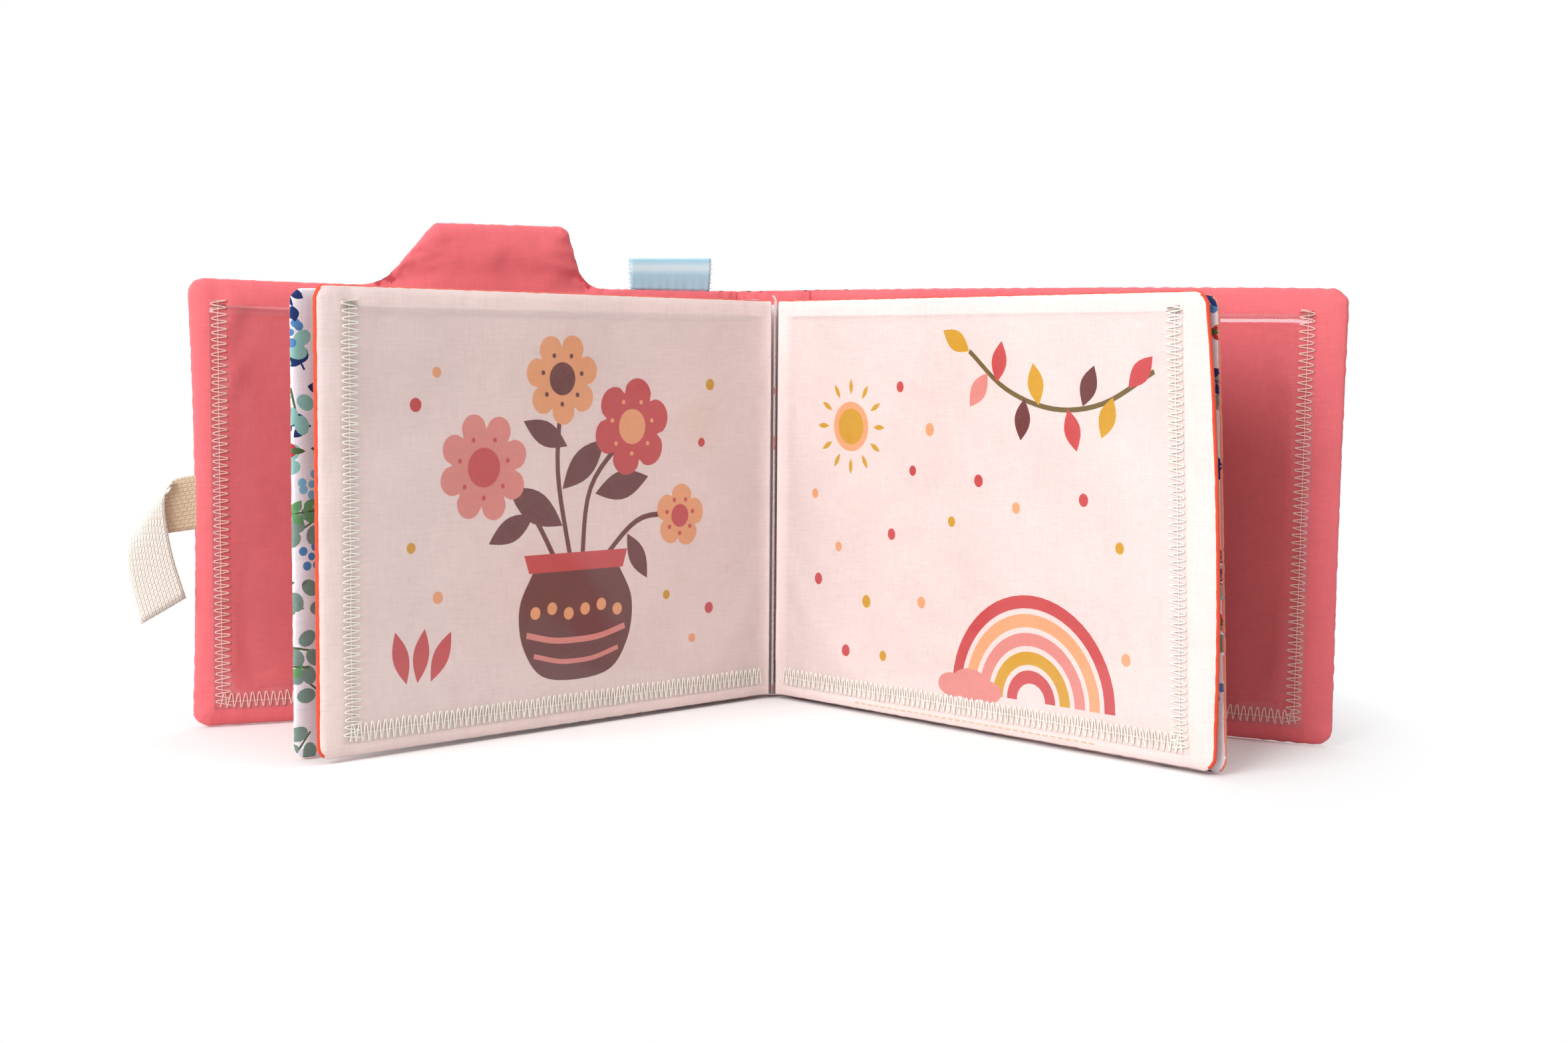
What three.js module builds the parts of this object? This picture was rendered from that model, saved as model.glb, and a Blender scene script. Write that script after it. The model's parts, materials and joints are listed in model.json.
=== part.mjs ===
// Soft photo album: a padded cloth cover with four padded leaves and clear photo pockets.
// It stands open on its bottom edges. Millimetres, +Z up, the reader looks along +Y.
// The origin is the foot of the sewn gutter, in the middle of the spine.

import * as THREE from "three";

// Clearances
const seamGap = 0.3;          // between pieces that are sewn or laid together
const hingeSlit = 0.8;        // soft fold line between a cover and the spine band

// Cloth and wadding
const clothThickness = 0.5;
const hemBevel = 0.35;        // how far a turned hem is rounded off
const windowThickness = 0.25;
const grooveDepth = 0.25;     // how deep a sewn row pulls the cloth in
const waddingStart = 0.5;     // where the wadding begins, as a share of the swell

// Cover
const coverWidth = 193.5;     // from the fold line to the fore edge
const coverHeight = 146;
const coverCorner = 6;
const coverCrown = 2.1;       // how far the wadding swells each side
const coverSwell = 12;        // how far in from the hem the swell is full
const foldCorner = 1.2;

// Hump on the front cover, from the fold line outward
const humpTop = 167.2;
const humpInnerFoot = 58.4;
const humpInnerTop = 64.8;
const humpOuterTop = 111.8;
const humpOuterFoot = 129.9;
const humpInnerFillet = 9.5;
const humpOuterFillet = 16;
const humpInnerCorner = 4;
const humpOuterCorner = 4;

// Spine band
const spineWidth = 27;
const spineCrown = 1.4;
const spineSwell = 8;

// Leaves
const innerLeafWidth = 186.3; // from the leaf's fold line to its outer edge
const outerLeafWidth = 188.5;
const leafHeight = 142;
const leafCorner = 4.5;
const leafCrown = 0.85;
const leafSwell = 6;
const leafRootReach = 1.25;   // how far a leaf runs on past its fold line
const innerSheetLift = 1;     // the inner sheet hangs clear of the floor
const rightLeafSlant = 6.6;   // the right leaves are cut this much longer at the foot

// Gutter of the outer sheet, and the sewn ridge of the inner sheet
const gutterWidth = 11;
const gutterThickness = 1;
const ridgeThickness = 0.7;
const ridgeDepth = 3.6;

// Pocket windows and the rows that hold them
const coverRowInset = 8.5;    // from the fore edge to the sewn row
const coverRowFoot = 6.2;     // from the bottom edge to the sewn row
const coverPocketMouth = 8.6; // from the top edge down to the open mouth
const leafRowInset = 9;
const leafRowFoot = 4.6;
const leafPocketMouth = 5.8;
const rowWidth = 5.6;
const windowLip = 0.6;        // how far a window runs on past its row
const windowRoot = 3;         // where a window starts, from the fold line

// Pose in which the album stands: angles from the closed album
const frontCoverAngle = 65;
const backCoverAngle = 60;
const leftLeafAngle = 46;
const rightLeafAngle = 43;
const innerLeafForward = 2.2; // the left inner leaf leans this much further forward

// Closing strap
const strapWidth = 17.4;
const strapThickness = 1.3;
const strapMiddle = 74.2;     // height of its middle above the floor
const strapFoldStart = 9;     // from the fore edge to the fold, along the upper edge
const strapFoldAngle = 50;    // between the strap and its fold line
const strapTailLength = 35;   // along the middle, from the fold to the end
const strapEndSlant = 19;     // the end's cut, from square
const strapLayerGap = 0.6;
const patchLength = 15;
const patchMargin = 1.6;
const patchThickness = 1;
const loopPatchLength = 30;
const loopPatchInset = 26;    // from the fore edge of the back cover

// Ribbon tag
const tagWidth = 30.6;
const tagHeight = 11;
const tagStart = 11.6;        // from the fold line of the front cover
const tagThickness = 0.4;
const tagSwell = 1.1;         // half of the loop's thickness at its fullest
const tagLift = 0.6;
const tagHollowFoot = 0.25;   // where the loop's hollow starts, as a share of its height
const tagBellyFoot = 0.35;    // the loop is fullest between these shares of its height
const tagBellyTop = 0.6;

// Steps that round forms are drawn with
const coverSteps = { corner: 4, edge: 3, root: 3 };
const leafSteps = { corner: 3, edge: 2, root: 1 };
const spineSteps = { corner: 3, edge: 3 };
const smallCurveSteps = 6;
const smallestCorner = 0.4;

const rimHalf = seamGap / 2 + clothThickness;
const coverHalf = rimHalf + coverCrown;
const spineHalf = rimHalf + spineCrown;
const leafHalf = rimHalf + leafCrown;
const leafPitch = 2 * (leafHalf + seamGap + windowThickness) + seamGap;
const leafFoldX = 1.5 * leafPitch;
const leafFoldY = -(gutterThickness / 2 + seamGap + leafRootReach);
const spineY = gutterThickness / 2 + seamGap + spineHalf;
const foldX = spineWidth / 2;

const colours = {
  lining: 0xe0707a,
  coverCloth: 0xe88a90,
  palePrint: 0xf3dcd8,
  orangeCloth: 0xe8623c,
  whitePrint: 0xe6e6f0,
  salmonCloth: 0xe9917c,
  wadding: 0xf4f2ec,
  window: 0xe4eef2,
  webbing: 0xe6d9b8,
  ribbon: 0xa9d0e6,
  hook: 0xded3bb,
};

function cloth(colour) {
  return new THREE.MeshStandardMaterial({ color: colour, roughness: 0.85, metalness: 0 });
}

function clear() {
  return new THREE.MeshStandardMaterial({
    color: colours.window,
    roughness: 0.1,
    metalness: 0,
    transparent: true,
    opacity: 0.3,
  });
}

function satin() {
  return new THREE.MeshStandardMaterial({ color: colours.ribbon, roughness: 0.35, metalness: 0 });
}

const radians = THREE.MathUtils.degToRad;

// Outline of a panel as corners, each with its own radius, counter-clockwise
function corner(x, z, radius) {
  return { point: new THREE.Vector2(x, z), radius };
}

function rectangle(x0, z0, x1, z1, radii) {
  return [
    corner(x0, z0, radii[0]),
    corner(x1, z0, radii[1]),
    corner(x1, z1, radii[2]),
    corner(x0, z1, radii[3]),
  ];
}

// Where two lines cross, each given by a point and a direction
function crossing(a, u, b, v) {
  const t = b.clone().sub(a).cross(v) / u.cross(v);
  return a.clone().addScaledVector(u, t);
}

// The outline moved inwards, with its corners rounded, always with the same number of points
function insetOutline(corners, inset, steps) {
  const count = corners.length;
  const edges = corners.map((c, i) => {
    const next = corners[(i + 1) % count].point;
    const along = next.clone().sub(c.point).normalize();
    const inward = new THREE.Vector2(-along.y, along.x);
    return { start: c.point.clone().addScaledVector(inward, inset), along };
  });
  const arcs = corners.map((c, i) => {
    const before = edges[(i + count - 1) % count];
    const after = edges[i];
    const tip = crossing(before.start, before.along, after.start, after.along);
    const turn = Math.asin(THREE.MathUtils.clamp(before.along.cross(after.along), -1, 1));
    const radius = turn > 0 ? Math.max(c.radius - inset, smallestCorner) : c.radius + inset;
    const reach = radius * Math.tan(Math.abs(turn) / 2);
    const first = tip.clone().addScaledVector(before.along, -reach);
    const side = new THREE.Vector2(-before.along.y, before.along.x).multiplyScalar(Math.sign(turn));
    const centre = first.clone().addScaledVector(side, radius);
    const points = [];
    for (let step = 0; step <= steps.corner; step += 1) {
      points.push(first.clone().rotateAround(centre, (turn * step) / steps.corner));
    }
    return points;
  });
  const outline = [];
  arcs.forEach((points, i) => {
    const next = arcs[(i + 1) % count][0];
    const last = points[points.length - 1];
    outline.push(...points);
    for (let step = 1; step < steps.edge; step += 1) {
      outline.push(last.clone().lerp(next, step / steps.edge));
    }
  });
  return outline;
}

// Distance from a point to the nearest side of an outline
function sideDistance(corners, x, z) {
  const spot = new THREE.Vector3(x, z, 0);
  const nearest = new THREE.Vector3();
  const distances = corners.map((c, i) => {
    const next = corners[(i + 1) % corners.length].point;
    const side = new THREE.Line3(
      new THREE.Vector3(c.point.x, c.point.y, 0),
      new THREE.Vector3(next.x, next.y, 0),
    );
    return side.closestPointToPoint(spot, true, nearest).distanceTo(spot);
  });
  return Math.min(...distances);
}

// A closed body between two stacks of rings. Each ring has a point list and a height function.
function ringedSolid(front, back, flip) {
  const positions = [];
  const triangles = [];
  const addRings = (stack) =>
    stack.map(({ outline, height }) =>
      outline.map((p) => {
        positions.push(p.x, height(p.x, p.y), p.y);
        return positions.length / 3 - 1;
      }),
    );
  const band = (low, high) => {
    low.forEach((a, i) => {
      const j = (i + 1) % low.length;
      triangles.push([a, high[i], low[j]], [low[j], high[i], high[j]]);
    });
  };
  const cap = (ring, outline, turned) => {
    THREE.ShapeUtils.triangulateShape(outline, []).forEach(([a, b, c]) => {
      triangles.push(turned ? [ring[a], ring[b], ring[c]] : [ring[a], ring[c], ring[b]]);
    });
  };
  const frontRings = addRings(front);
  const backRings = addRings(back);
  frontRings.slice(1).forEach((ring, i) => band(frontRings[i], ring));
  backRings.slice(1).forEach((ring, i) => band(ring, backRings[i]));
  band(backRings[0], frontRings[0]);
  cap(frontRings[frontRings.length - 1], front[front.length - 1].outline, false);
  cap(backRings[backRings.length - 1], back[back.length - 1].outline, true);
  const index = triangles.flatMap(([a, b, c]) => (flip ? [a, c, b] : [a, b, c]));
  const geometry = new THREE.BufferGeometry();
  geometry.setAttribute("position", new THREE.Float32BufferAttribute(positions, 3));
  geometry.setIndex(index);
  return geometry;
}

// How far a padded panel's skin stands from its middle plane, at a distance in from the hem
function swellHeight(distance, crown, swell) {
  if (distance < hemBevel) {
    return THREE.MathUtils.lerp(seamGap / 2 + clothThickness / 3, rimHalf, distance / hemBevel);
  }
  const share = Math.min((distance - hemBevel) / (swell - hemBevel), 1);
  return rimHalf + crown * Math.sin((share * Math.PI) / 2);
}

// How much a sewn row pulls the cloth in, at a distance from the row's near side
function rowPull(distance) {
  const off = Math.abs(distance - rowWidth / 2) / (rowWidth / 2);
  return grooveDepth * Math.max(0, 1 - off);
}

// A padded panel: its outline, its swell and the rows sewn along its fore edge and its foot
class PaddedPanel {
  constructor({ corners, crown, swell, steps, inside, rows = null, slant = 0 }) {
    this.corners = corners;
    this.crown = crown;
    this.swell = swell;
    this.steps = steps;
    this.inside = inside;
    this.rows = rows;
    this.slant = slant;
    this.right = Math.max(...corners.map((c) => c.point.x));
    this.top = Math.max(...corners.map((c) => c.point.y));
  }

  surface(x, z) {
    return swellHeight(sideDistance(this.corners, x, z), this.crown, this.swell);
  }

  // The surface with its sewn rows pulled in, where the panel has any
  sewnSurface(x, z) {
    if (!this.rows) {
      return this.surface(x, z);
    }
    const side = rowPull(this.right - this.rows.inset - x);
    const foot = rowPull(z - this.rows.foot);
    return this.surface(x, z) - Math.max(side, foot);
  }

  // Slants the outer edge, for a leaf that was cut longer at its foot
  shape(geometry) {
    const position = geometry.getAttribute("position");
    for (let i = 0; i < position.count; i += 1) {
      const x = position.getX(i);
      const share = (x / this.right) * (0.5 - position.getZ(i) / this.top);
      position.setX(i, x + this.slant * share);
      position.setY(i, position.getY(i) * this.inside);
    }
    return geometry;
  }

  ring(inset, height) {
    const outline = insetOutline(this.corners, inset, this.steps);
    return { outline, height };
  }

  // How far in the rings lie: on the hem's bevel, over the swell and along the sewn rows
  insets() {
    const along = (start) => [start, start + rowWidth / 2, start + rowWidth];
    const rows = this.rows ? [...along(this.rows.foot), ...along(this.rows.inset).slice(1)] : [];
    const sorted = [0, hemBevel, this.swell / 3, this.swell, ...rows].sort((a, b) => a - b);
    return sorted.filter((inset, i) => i < 2 || inset - sorted[i - 1] > hemBevel * 2);
  }

  // The cloth skin on one side: side is 1 for the inside face and -1 for the outside one
  skin(side) {
    const face = (x, z) => side * this.sewnSurface(x, z);
    const hollow = (x, z) => side * Math.max(this.surface(x, z) - clothThickness, seamGap / 2);
    const front = this.insets().map((inset) => this.ring(inset, face));
    const back = [0, this.swell / 3, this.swell].map((inset) => this.ring(inset, hollow));
    return this.shape(ringedSolid(front, back, side * this.inside < 0));
  }

  // The wadding between the two skins
  wadding() {
    const thickness = (x, z) => this.surface(x, z) - clothThickness - seamGap;
    const insets = [this.swell * waddingStart, this.swell];
    const front = insets.map((inset) => this.ring(inset, (x, z) => thickness(x, z)));
    const back = insets.map((inset) => this.ring(inset, (x, z) => -thickness(x, z)));
    return this.shape(ringedSolid(front, back, this.inside < 0));
  }

  // The clear window on one side, sewn at the fore edge and the foot and open at the top
  window(side, mouth, height) {
    const rowEnd = this.right - this.rows.inset;
    const root = [];
    for (let step = 0; step <= this.steps.root; step += 1) {
      root.push(THREE.MathUtils.lerp(windowRoot, this.swell + hingeSlit, step / this.steps.root));
    }
    const across = [...root, rowEnd / 2, rowEnd - rowWidth, rowEnd - rowWidth / 2, rowEnd + windowLip];
    const foot = this.rows.foot;
    const top = height - mouth;
    const up = [
      foot - windowLip, foot + rowWidth / 2, foot + rowWidth, height / 2,
      top - this.swell * (2 / 3), top - this.swell / 3, top,
    ];
    return this.shape(this.sheet(across, up, side));
  }

  sheet(across, up, side) {
    const positions = [];
    const index = [];
    const columns = up.length;
    const layers = [0, windowThickness];
    layers.forEach((lift) => {
      across.forEach((x) => {
        up.forEach((z) => {
          positions.push(x, side * (this.sewnSurface(x, z) + seamGap + lift), z);
        });
      });
    });
    const at = (layer, i, j) => layer * across.length * columns + i * columns + j;
    const quad = (a, b, c, d) => index.push([a, b, c], [a, c, d]);
    for (let i = 0; i + 1 < across.length; i += 1) {
      for (let j = 0; j + 1 < columns; j += 1) {
        quad(at(0, i, j), at(0, i + 1, j), at(0, i + 1, j + 1), at(0, i, j + 1));
        quad(at(1, i, j), at(1, i, j + 1), at(1, i + 1, j + 1), at(1, i + 1, j));
      }
    }
    const lastRow = columns - 1;
    const lastColumn = across.length - 1;
    for (let i = 0; i < lastColumn; i += 1) {
      quad(at(0, i, 0), at(1, i, 0), at(1, i + 1, 0), at(0, i + 1, 0));
      quad(at(0, i, lastRow), at(0, i + 1, lastRow), at(1, i + 1, lastRow), at(1, i, lastRow));
    }
    for (let j = 0; j < lastRow; j += 1) {
      quad(at(0, 0, j), at(0, 0, j + 1), at(1, 0, j + 1), at(1, 0, j));
      quad(at(0, lastColumn, j), at(1, lastColumn, j), at(1, lastColumn, j + 1), at(0, lastColumn, j + 1));
    }
    const flip = side * this.inside < 0;
    const geometry = new THREE.BufferGeometry();
    geometry.setAttribute("position", new THREE.Float32BufferAttribute(positions, 3));
    geometry.setIndex(index.flatMap(([a, b, c]) => (flip ? [a, c, b] : [a, b, c])));
    return geometry;
  }
}

function piece(name, geometry, material) {
  const mesh = new THREE.Mesh(geometry, material);
  mesh.name = name;
  return mesh;
}

// A group whose local X runs out along a leaf or cover, turned about its fold line.
// hand is 1 on the left and -1 on the right, and local Y times hand faces the reader.
function foldGroup(x, y, angle, hand) {
  const group = new THREE.Group();
  group.position.set(-hand * x, y, 0);
  group.rotation.z = -Math.PI / 2 - hand * radians(angle);
  return group;
}

function coverCorners(withHump) {
  const start = hingeSlit / 2;
  const hump = withHump
    ? [
        corner(humpOuterFoot, coverHeight, humpOuterFillet),
        corner(humpOuterTop, humpTop, humpOuterCorner),
        corner(humpInnerTop, humpTop, humpInnerCorner),
        corner(humpInnerFoot, coverHeight, humpInnerFillet),
      ]
    : [];
  return [
    corner(start, 0, foldCorner),
    corner(coverWidth, 0, coverCorner),
    corner(coverWidth, coverHeight, coverCorner),
    ...hump,
    corner(start, coverHeight, foldCorner),
  ];
}

function coverPanel(withHump, hand) {
  return new PaddedPanel({
    corners: coverCorners(withHump),
    crown: coverCrown,
    swell: coverSwell,
    steps: coverSteps,
    inside: hand,
    rows: { inset: coverRowInset, foot: coverRowFoot },
  });
}

function addCover(group, name, panel) {
  group.add(piece(`${name}_lining`, panel.skin(1), cloth(colours.lining)));
  group.add(piece(`${name}_outer`, panel.skin(-1), cloth(colours.coverCloth)));
  group.add(piece(`${name}_wadding`, panel.wadding(), cloth(colours.wadding)));
  group.add(piece(`${name}_window`, panel.window(1, coverPocketMouth, coverHeight), clear()));
}

function leafPanel(width, slant, hand) {
  const start = -leafRootReach;
  const radii = [foldCorner, leafCorner, leafCorner, foldCorner];
  return new PaddedPanel({
    corners: rectangle(start, 0, width, leafHeight, radii),
    crown: leafCrown,
    swell: leafSwell,
    steps: leafSteps,
    inside: hand,
    rows: { inset: leafRowInset, foot: leafRowFoot },
    slant,
  });
}

function addLeaf(group, name, panel, frontColour, backColour) {
  group.add(piece(`${name}_front`, panel.skin(1), cloth(frontColour)));
  group.add(piece(`${name}_back`, panel.skin(-1), cloth(backColour)));
  group.add(piece(`${name}_wadding`, panel.wadding(), cloth(colours.wadding)));
  group.add(piece(`${name}_front_window`, panel.window(1, leafPocketMouth, leafHeight), clear()));
  group.add(piece(`${name}_back_window`, panel.window(-1, leafPocketMouth, leafHeight), clear()));
}

function addSpine(album) {
  const half = foldX - hingeSlit / 2;
  const panel = new PaddedPanel({
    corners: rectangle(-half, 0, half, coverHeight, [foldCorner, foldCorner, foldCorner, foldCorner]),
    crown: spineCrown,
    swell: spineSwell,
    steps: spineSteps,
    inside: -1,
  });
  const group = new THREE.Group();
  group.position.y = spineY;
  group.add(piece("spine_lining", panel.skin(1), cloth(colours.lining)));
  group.add(piece("spine_outer", panel.skin(-1), cloth(colours.coverCloth)));
  group.add(piece("spine_wadding", panel.wadding(), cloth(colours.wadding)));
  album.add(group);
}

// The sewn roots of the two sheets, where the centre seam holds them to the spine
function addSheetRoots(album) {
  const gutter = new THREE.BoxGeometry(gutterWidth, gutterThickness, leafHeight);
  gutter.translate(0, 0, leafHeight / 2);
  album.add(piece("outer_sheet_gutter", gutter, cloth(colours.whitePrint)));
  const profile = new THREE.Shape();
  const half = ridgeThickness / 2;
  const depth = ridgeDepth - half;
  profile.moveTo(-half, 0);
  profile.lineTo(-half, -depth);
  profile.absarc(0, -depth, half, Math.PI, 2 * Math.PI, false);
  profile.lineTo(half, 0);
  profile.closePath();
  const ridge = new THREE.ExtrudeGeometry(profile, {
    depth: leafHeight,
    bevelEnabled: false,
    curveSegments: smallCurveSteps,
  });
  ridge.translate(0, -(gutterThickness / 2 + seamGap), innerSheetLift);
  album.add(piece("inner_sheet_ridge", ridge, cloth(colours.palePrint)));
}

// A flat plate from a profile in the local X and Z plane, centred on its own thickness
function plate(profile, thickness) {
  const geometry = new THREE.ExtrudeGeometry(profile, { depth: thickness, bevelEnabled: false });
  geometry.rotateX(Math.PI / 2);
  geometry.translate(0, thickness / 2, 0);
  return geometry;
}

function polygon(points) {
  return new THREE.Shape(points.map(([x, z]) => new THREE.Vector2(x, z)));
}

// Webbing from its sewn end, which is pressed thin, to an end cut along the fold line
function strapRoot(start, lowerEnd, upperEnd) {
  const half = strapThickness / 2;
  const full = start + hemBevel;
  const side = polygon([
    [start, hemBevel - half],
    [full, -half],
    [upperEnd, -half],
    [upperEnd, half],
    [full, half],
    [start, half - hemBevel],
  ]);
  const geometry = new THREE.ExtrudeGeometry(side, { depth: strapWidth, bevelEnabled: false });
  geometry.translate(0, 0, -strapWidth / 2);
  const position = geometry.getAttribute("position");
  for (let i = 0; i < position.count; i += 1) {
    if (position.getX(i) > full + seamGap && position.getZ(i) < 0) {
      position.setX(i, lowerEnd);
    }
  }
  return geometry;
}

// The strap leaves the fore edge level, folds down on a slanted line and hangs in front
function addStrap(cover) {
  const slope = 1 / Math.tan(radians(strapFoldAngle));
  const half = strapWidth / 2;
  const slantGap = seamGap / 2 / Math.sin(radians(strapFoldAngle));
  const upper = strapFoldStart;
  const lower = strapFoldStart + strapWidth * slope;
  const strap = new THREE.Group();
  strap.position.set(coverWidth + hingeSlit / 2, 0, strapMiddle);

  const root = strapRoot(hingeSlit / 2, lower - slantGap, upper - slantGap);
  strap.add(piece("strap_root", root, cloth(colours.webbing)));

  const tail = new THREE.Group();
  const end = (upper + lower) / 2 + strapTailLength;
  const endShift = half * Math.tan(radians(strapEndSlant));
  const tailProfile = polygon([
    [lower + slantGap, -half],
    [end + endShift, -half],
    [end - endShift, half],
    [upper + slantGap, half],
  ]);
  const patchEnd = end - endShift - patchMargin;
  const patchHalf = half - patchMargin;
  const patchProfile = polygon([
    [patchEnd - patchLength, -patchHalf],
    [patchEnd, -patchHalf],
    [patchEnd, patchHalf],
    [patchEnd - patchLength, patchHalf],
  ]);
  const tailPlate = plate(tailProfile, strapThickness);
  const patchPlate = plate(patchProfile, patchThickness);
  patchPlate.translate(0, strapThickness / 2 + seamGap + patchThickness / 2, 0);
  tail.add(piece("strap_tail", tailPlate, cloth(colours.webbing)));
  tail.add(piece("strap_hook_patch", patchPlate, cloth(colours.hook)));

  // Turned half round about the fold line, which lies midway between the two layers
  const lift = (strapThickness + strapLayerGap) / 2;
  const foldPoint = new THREE.Vector3((upper + lower) / 2, lift, 0);
  const foldTurn = radians(strapFoldAngle);
  const foldLine = new THREE.Vector3(Math.cos(foldTurn), 0, -Math.sin(foldTurn));
  const pivot = new THREE.Group();
  pivot.position.copy(foldPoint);
  pivot.quaternion.setFromAxisAngle(foldLine, Math.PI);
  tail.position.copy(foldPoint).negate();
  pivot.add(tail);
  strap.add(pivot);
  cover.add(strap);
}

// The mate of the strap's hook patch, on the outside of the back cover
function addLoopPatch(cover) {
  const half = strapWidth / 2;
  const end = coverWidth - loopPatchInset;
  const profile = polygon([
    [end - loopPatchLength, -half],
    [end, -half],
    [end, half],
    [end - loopPatchLength, half],
  ]);
  const patch = plate(profile, patchThickness);
  patch.translate(0, coverHalf + seamGap + patchThickness / 2, strapMiddle);
  cover.add(piece("back_loop_patch", patch, cloth(colours.hook)));
}

// A flattened ribbon loop, sewn into the top seam by its ends
function addTag(cover) {
  const foot = tagThickness + seamGap / 2;
  const hollow = tagSwell - tagThickness;
  const low = tagHeight * tagBellyFoot;
  const high = tagHeight * tagBellyTop;
  const bend = tagHeight - tagSwell;
  const hollowFoot = tagHeight * tagHollowFoot;
  const outer = new THREE.Shape();
  outer.moveTo(-foot, 0);
  outer.lineTo(foot, 0);
  outer.bezierCurveTo(tagSwell, low, tagSwell, high, tagSwell, bend);
  outer.absarc(0, bend, tagSwell, 0, Math.PI, false);
  outer.bezierCurveTo(-tagSwell, high, -tagSwell, low, -foot, 0);
  const inner = new THREE.Path();
  inner.moveTo(0, hollowFoot);
  inner.bezierCurveTo(hollow, low, hollow, high, hollow, bend);
  inner.absarc(0, bend, hollow, 0, Math.PI, false);
  inner.bezierCurveTo(-hollow, high, -hollow, low, 0, hollowFoot);
  outer.holes.push(inner);
  const geometry = new THREE.ExtrudeGeometry(outer, {
    depth: tagWidth,
    bevelEnabled: false,
    curveSegments: smallCurveSteps,
  });
  geometry.rotateX(Math.PI / 2);
  geometry.rotateZ(Math.PI / 2);
  geometry.translate(tagStart, 0, coverHeight + tagLift);
  cover.add(piece("ribbon_tag", geometry, satin()));
}

function addSide(album, hand) {
  const left = hand === 1;
  const side = left ? "left" : "right";
  const cover = foldGroup(foldX, spineY, left ? frontCoverAngle : backCoverAngle, hand);
  addCover(cover, left ? "front_cover" : "back_cover", coverPanel(left, hand));
  if (left) {
    addStrap(cover);
    addTag(cover);
  } else {
    addLoopPatch(cover);
  }
  album.add(cover);

  const slant = left ? 0 : rightLeafSlant;
  const outerLeaf = foldGroup(leafFoldX, leafFoldY, left ? leftLeafAngle : rightLeafAngle, hand);
  const outerPanel = leafPanel(outerLeafWidth, slant, hand);
  addLeaf(outerLeaf, `outer_${side}_leaf`, outerPanel, colours.whitePrint, colours.salmonCloth);

  const innerLeaf = new THREE.Group();
  innerLeaf.position.set(0, hand * leafPitch, innerSheetLift);
  innerLeaf.rotation.z = left ? radians(innerLeafForward) : 0;
  const innerPanel = leafPanel(innerLeafWidth, slant, hand);
  addLeaf(innerLeaf, `inner_${side}_leaf`, innerPanel, colours.palePrint, colours.orangeCloth);
  outerLeaf.add(innerLeaf);
  album.add(outerLeaf);
}

const album = new THREE.Group();
album.name = "soft_photo_album";
addSpine(album);
addSheetRoots(album);
addSide(album, 1);
addSide(album, -1);

export default album;
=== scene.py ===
"""Looks of a soft photo album: padded cloth cover and leaves, clear pockets, stitches, strap and tag.

Each operator in the sidebar makes one piece, or one group of like pieces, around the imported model.
Lengths are metres in the model's own frame. Flat work on a panel is done in millimetres:
s runs out from the fold line, z runs up, and n stands off the panel's middle towards the reader.
"""

import json
import math
import random

import bpy
import numpy as np
from bpy.props import FloatProperty, FloatVectorProperty, IntProperty, PointerProperty
from mathutils import Matrix, Vector, noise
from mathutils.geometry import delaunay_2d_cdt


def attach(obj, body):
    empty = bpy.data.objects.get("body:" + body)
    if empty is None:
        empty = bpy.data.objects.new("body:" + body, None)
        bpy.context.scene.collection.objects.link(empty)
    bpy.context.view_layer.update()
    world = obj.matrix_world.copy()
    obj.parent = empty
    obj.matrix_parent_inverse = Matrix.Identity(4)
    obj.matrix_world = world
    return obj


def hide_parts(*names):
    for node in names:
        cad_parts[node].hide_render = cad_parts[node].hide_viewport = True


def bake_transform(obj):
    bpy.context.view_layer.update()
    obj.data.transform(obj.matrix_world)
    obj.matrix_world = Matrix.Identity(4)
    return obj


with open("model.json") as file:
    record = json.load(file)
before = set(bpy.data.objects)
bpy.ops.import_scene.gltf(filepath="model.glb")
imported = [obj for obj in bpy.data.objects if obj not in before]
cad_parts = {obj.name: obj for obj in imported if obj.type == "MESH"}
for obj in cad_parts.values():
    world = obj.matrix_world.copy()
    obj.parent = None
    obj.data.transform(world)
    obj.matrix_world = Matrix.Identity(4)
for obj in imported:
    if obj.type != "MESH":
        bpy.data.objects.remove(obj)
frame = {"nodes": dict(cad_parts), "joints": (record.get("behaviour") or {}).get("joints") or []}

bl_info = {
    "name": "Soft Photo Album",
    "version": (1, 0, 0),
    "blender": (4, 5, 0),
    "location": "3D View > Sidebar > Photo Album",
    "description": "Padded cloth photo album with clear pockets, sewn rows, strap and ribbon tag",
    "category": "Object",
}

MM = 0.001
# Metres of cloth to one turn of the map that the prints and weaves are read from
CLOTH_MAP = 200 * MM
PHOTO_WIDTH = 2357
FOCAL_PIXELS = 3175.6
CAMERA_PLACE = (0.01373, -0.76225, 0.12082)
CAMERA_YAW, CAMERA_PITCH, CAMERA_ROLL = -0.755, 4.302, 0.444
JOINTS = {joint["name"]: joint for joint in frame["joints"]}
LEAVES = ("inner_left_leaf", "inner_right_leaf", "outer_left_leaf", "outer_right_leaf")
PANELS = ("front_cover", "back_cover", *LEAVES)


def length(name, description, default, **extra):
    return FloatProperty(
        name=name, description=description, default=default, unit="LENGTH", precision=5, **extra
    )


def colour(name, description, default):
    return FloatVectorProperty(
        name=name, description=description, default=default, subtype="COLOR", size=3, min=0, max=1
    )


def linear(red, green, blue):
    """A colour as picked on screen, from 0 to 255, in the linear values that Blender keeps."""

    def channel(value):
        value /= 255
        return value / 12.92 if value <= 0.04045 else ((value + 0.055) / 1.055) ** 2.4

    return (channel(red), channel(green), channel(blue))


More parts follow.
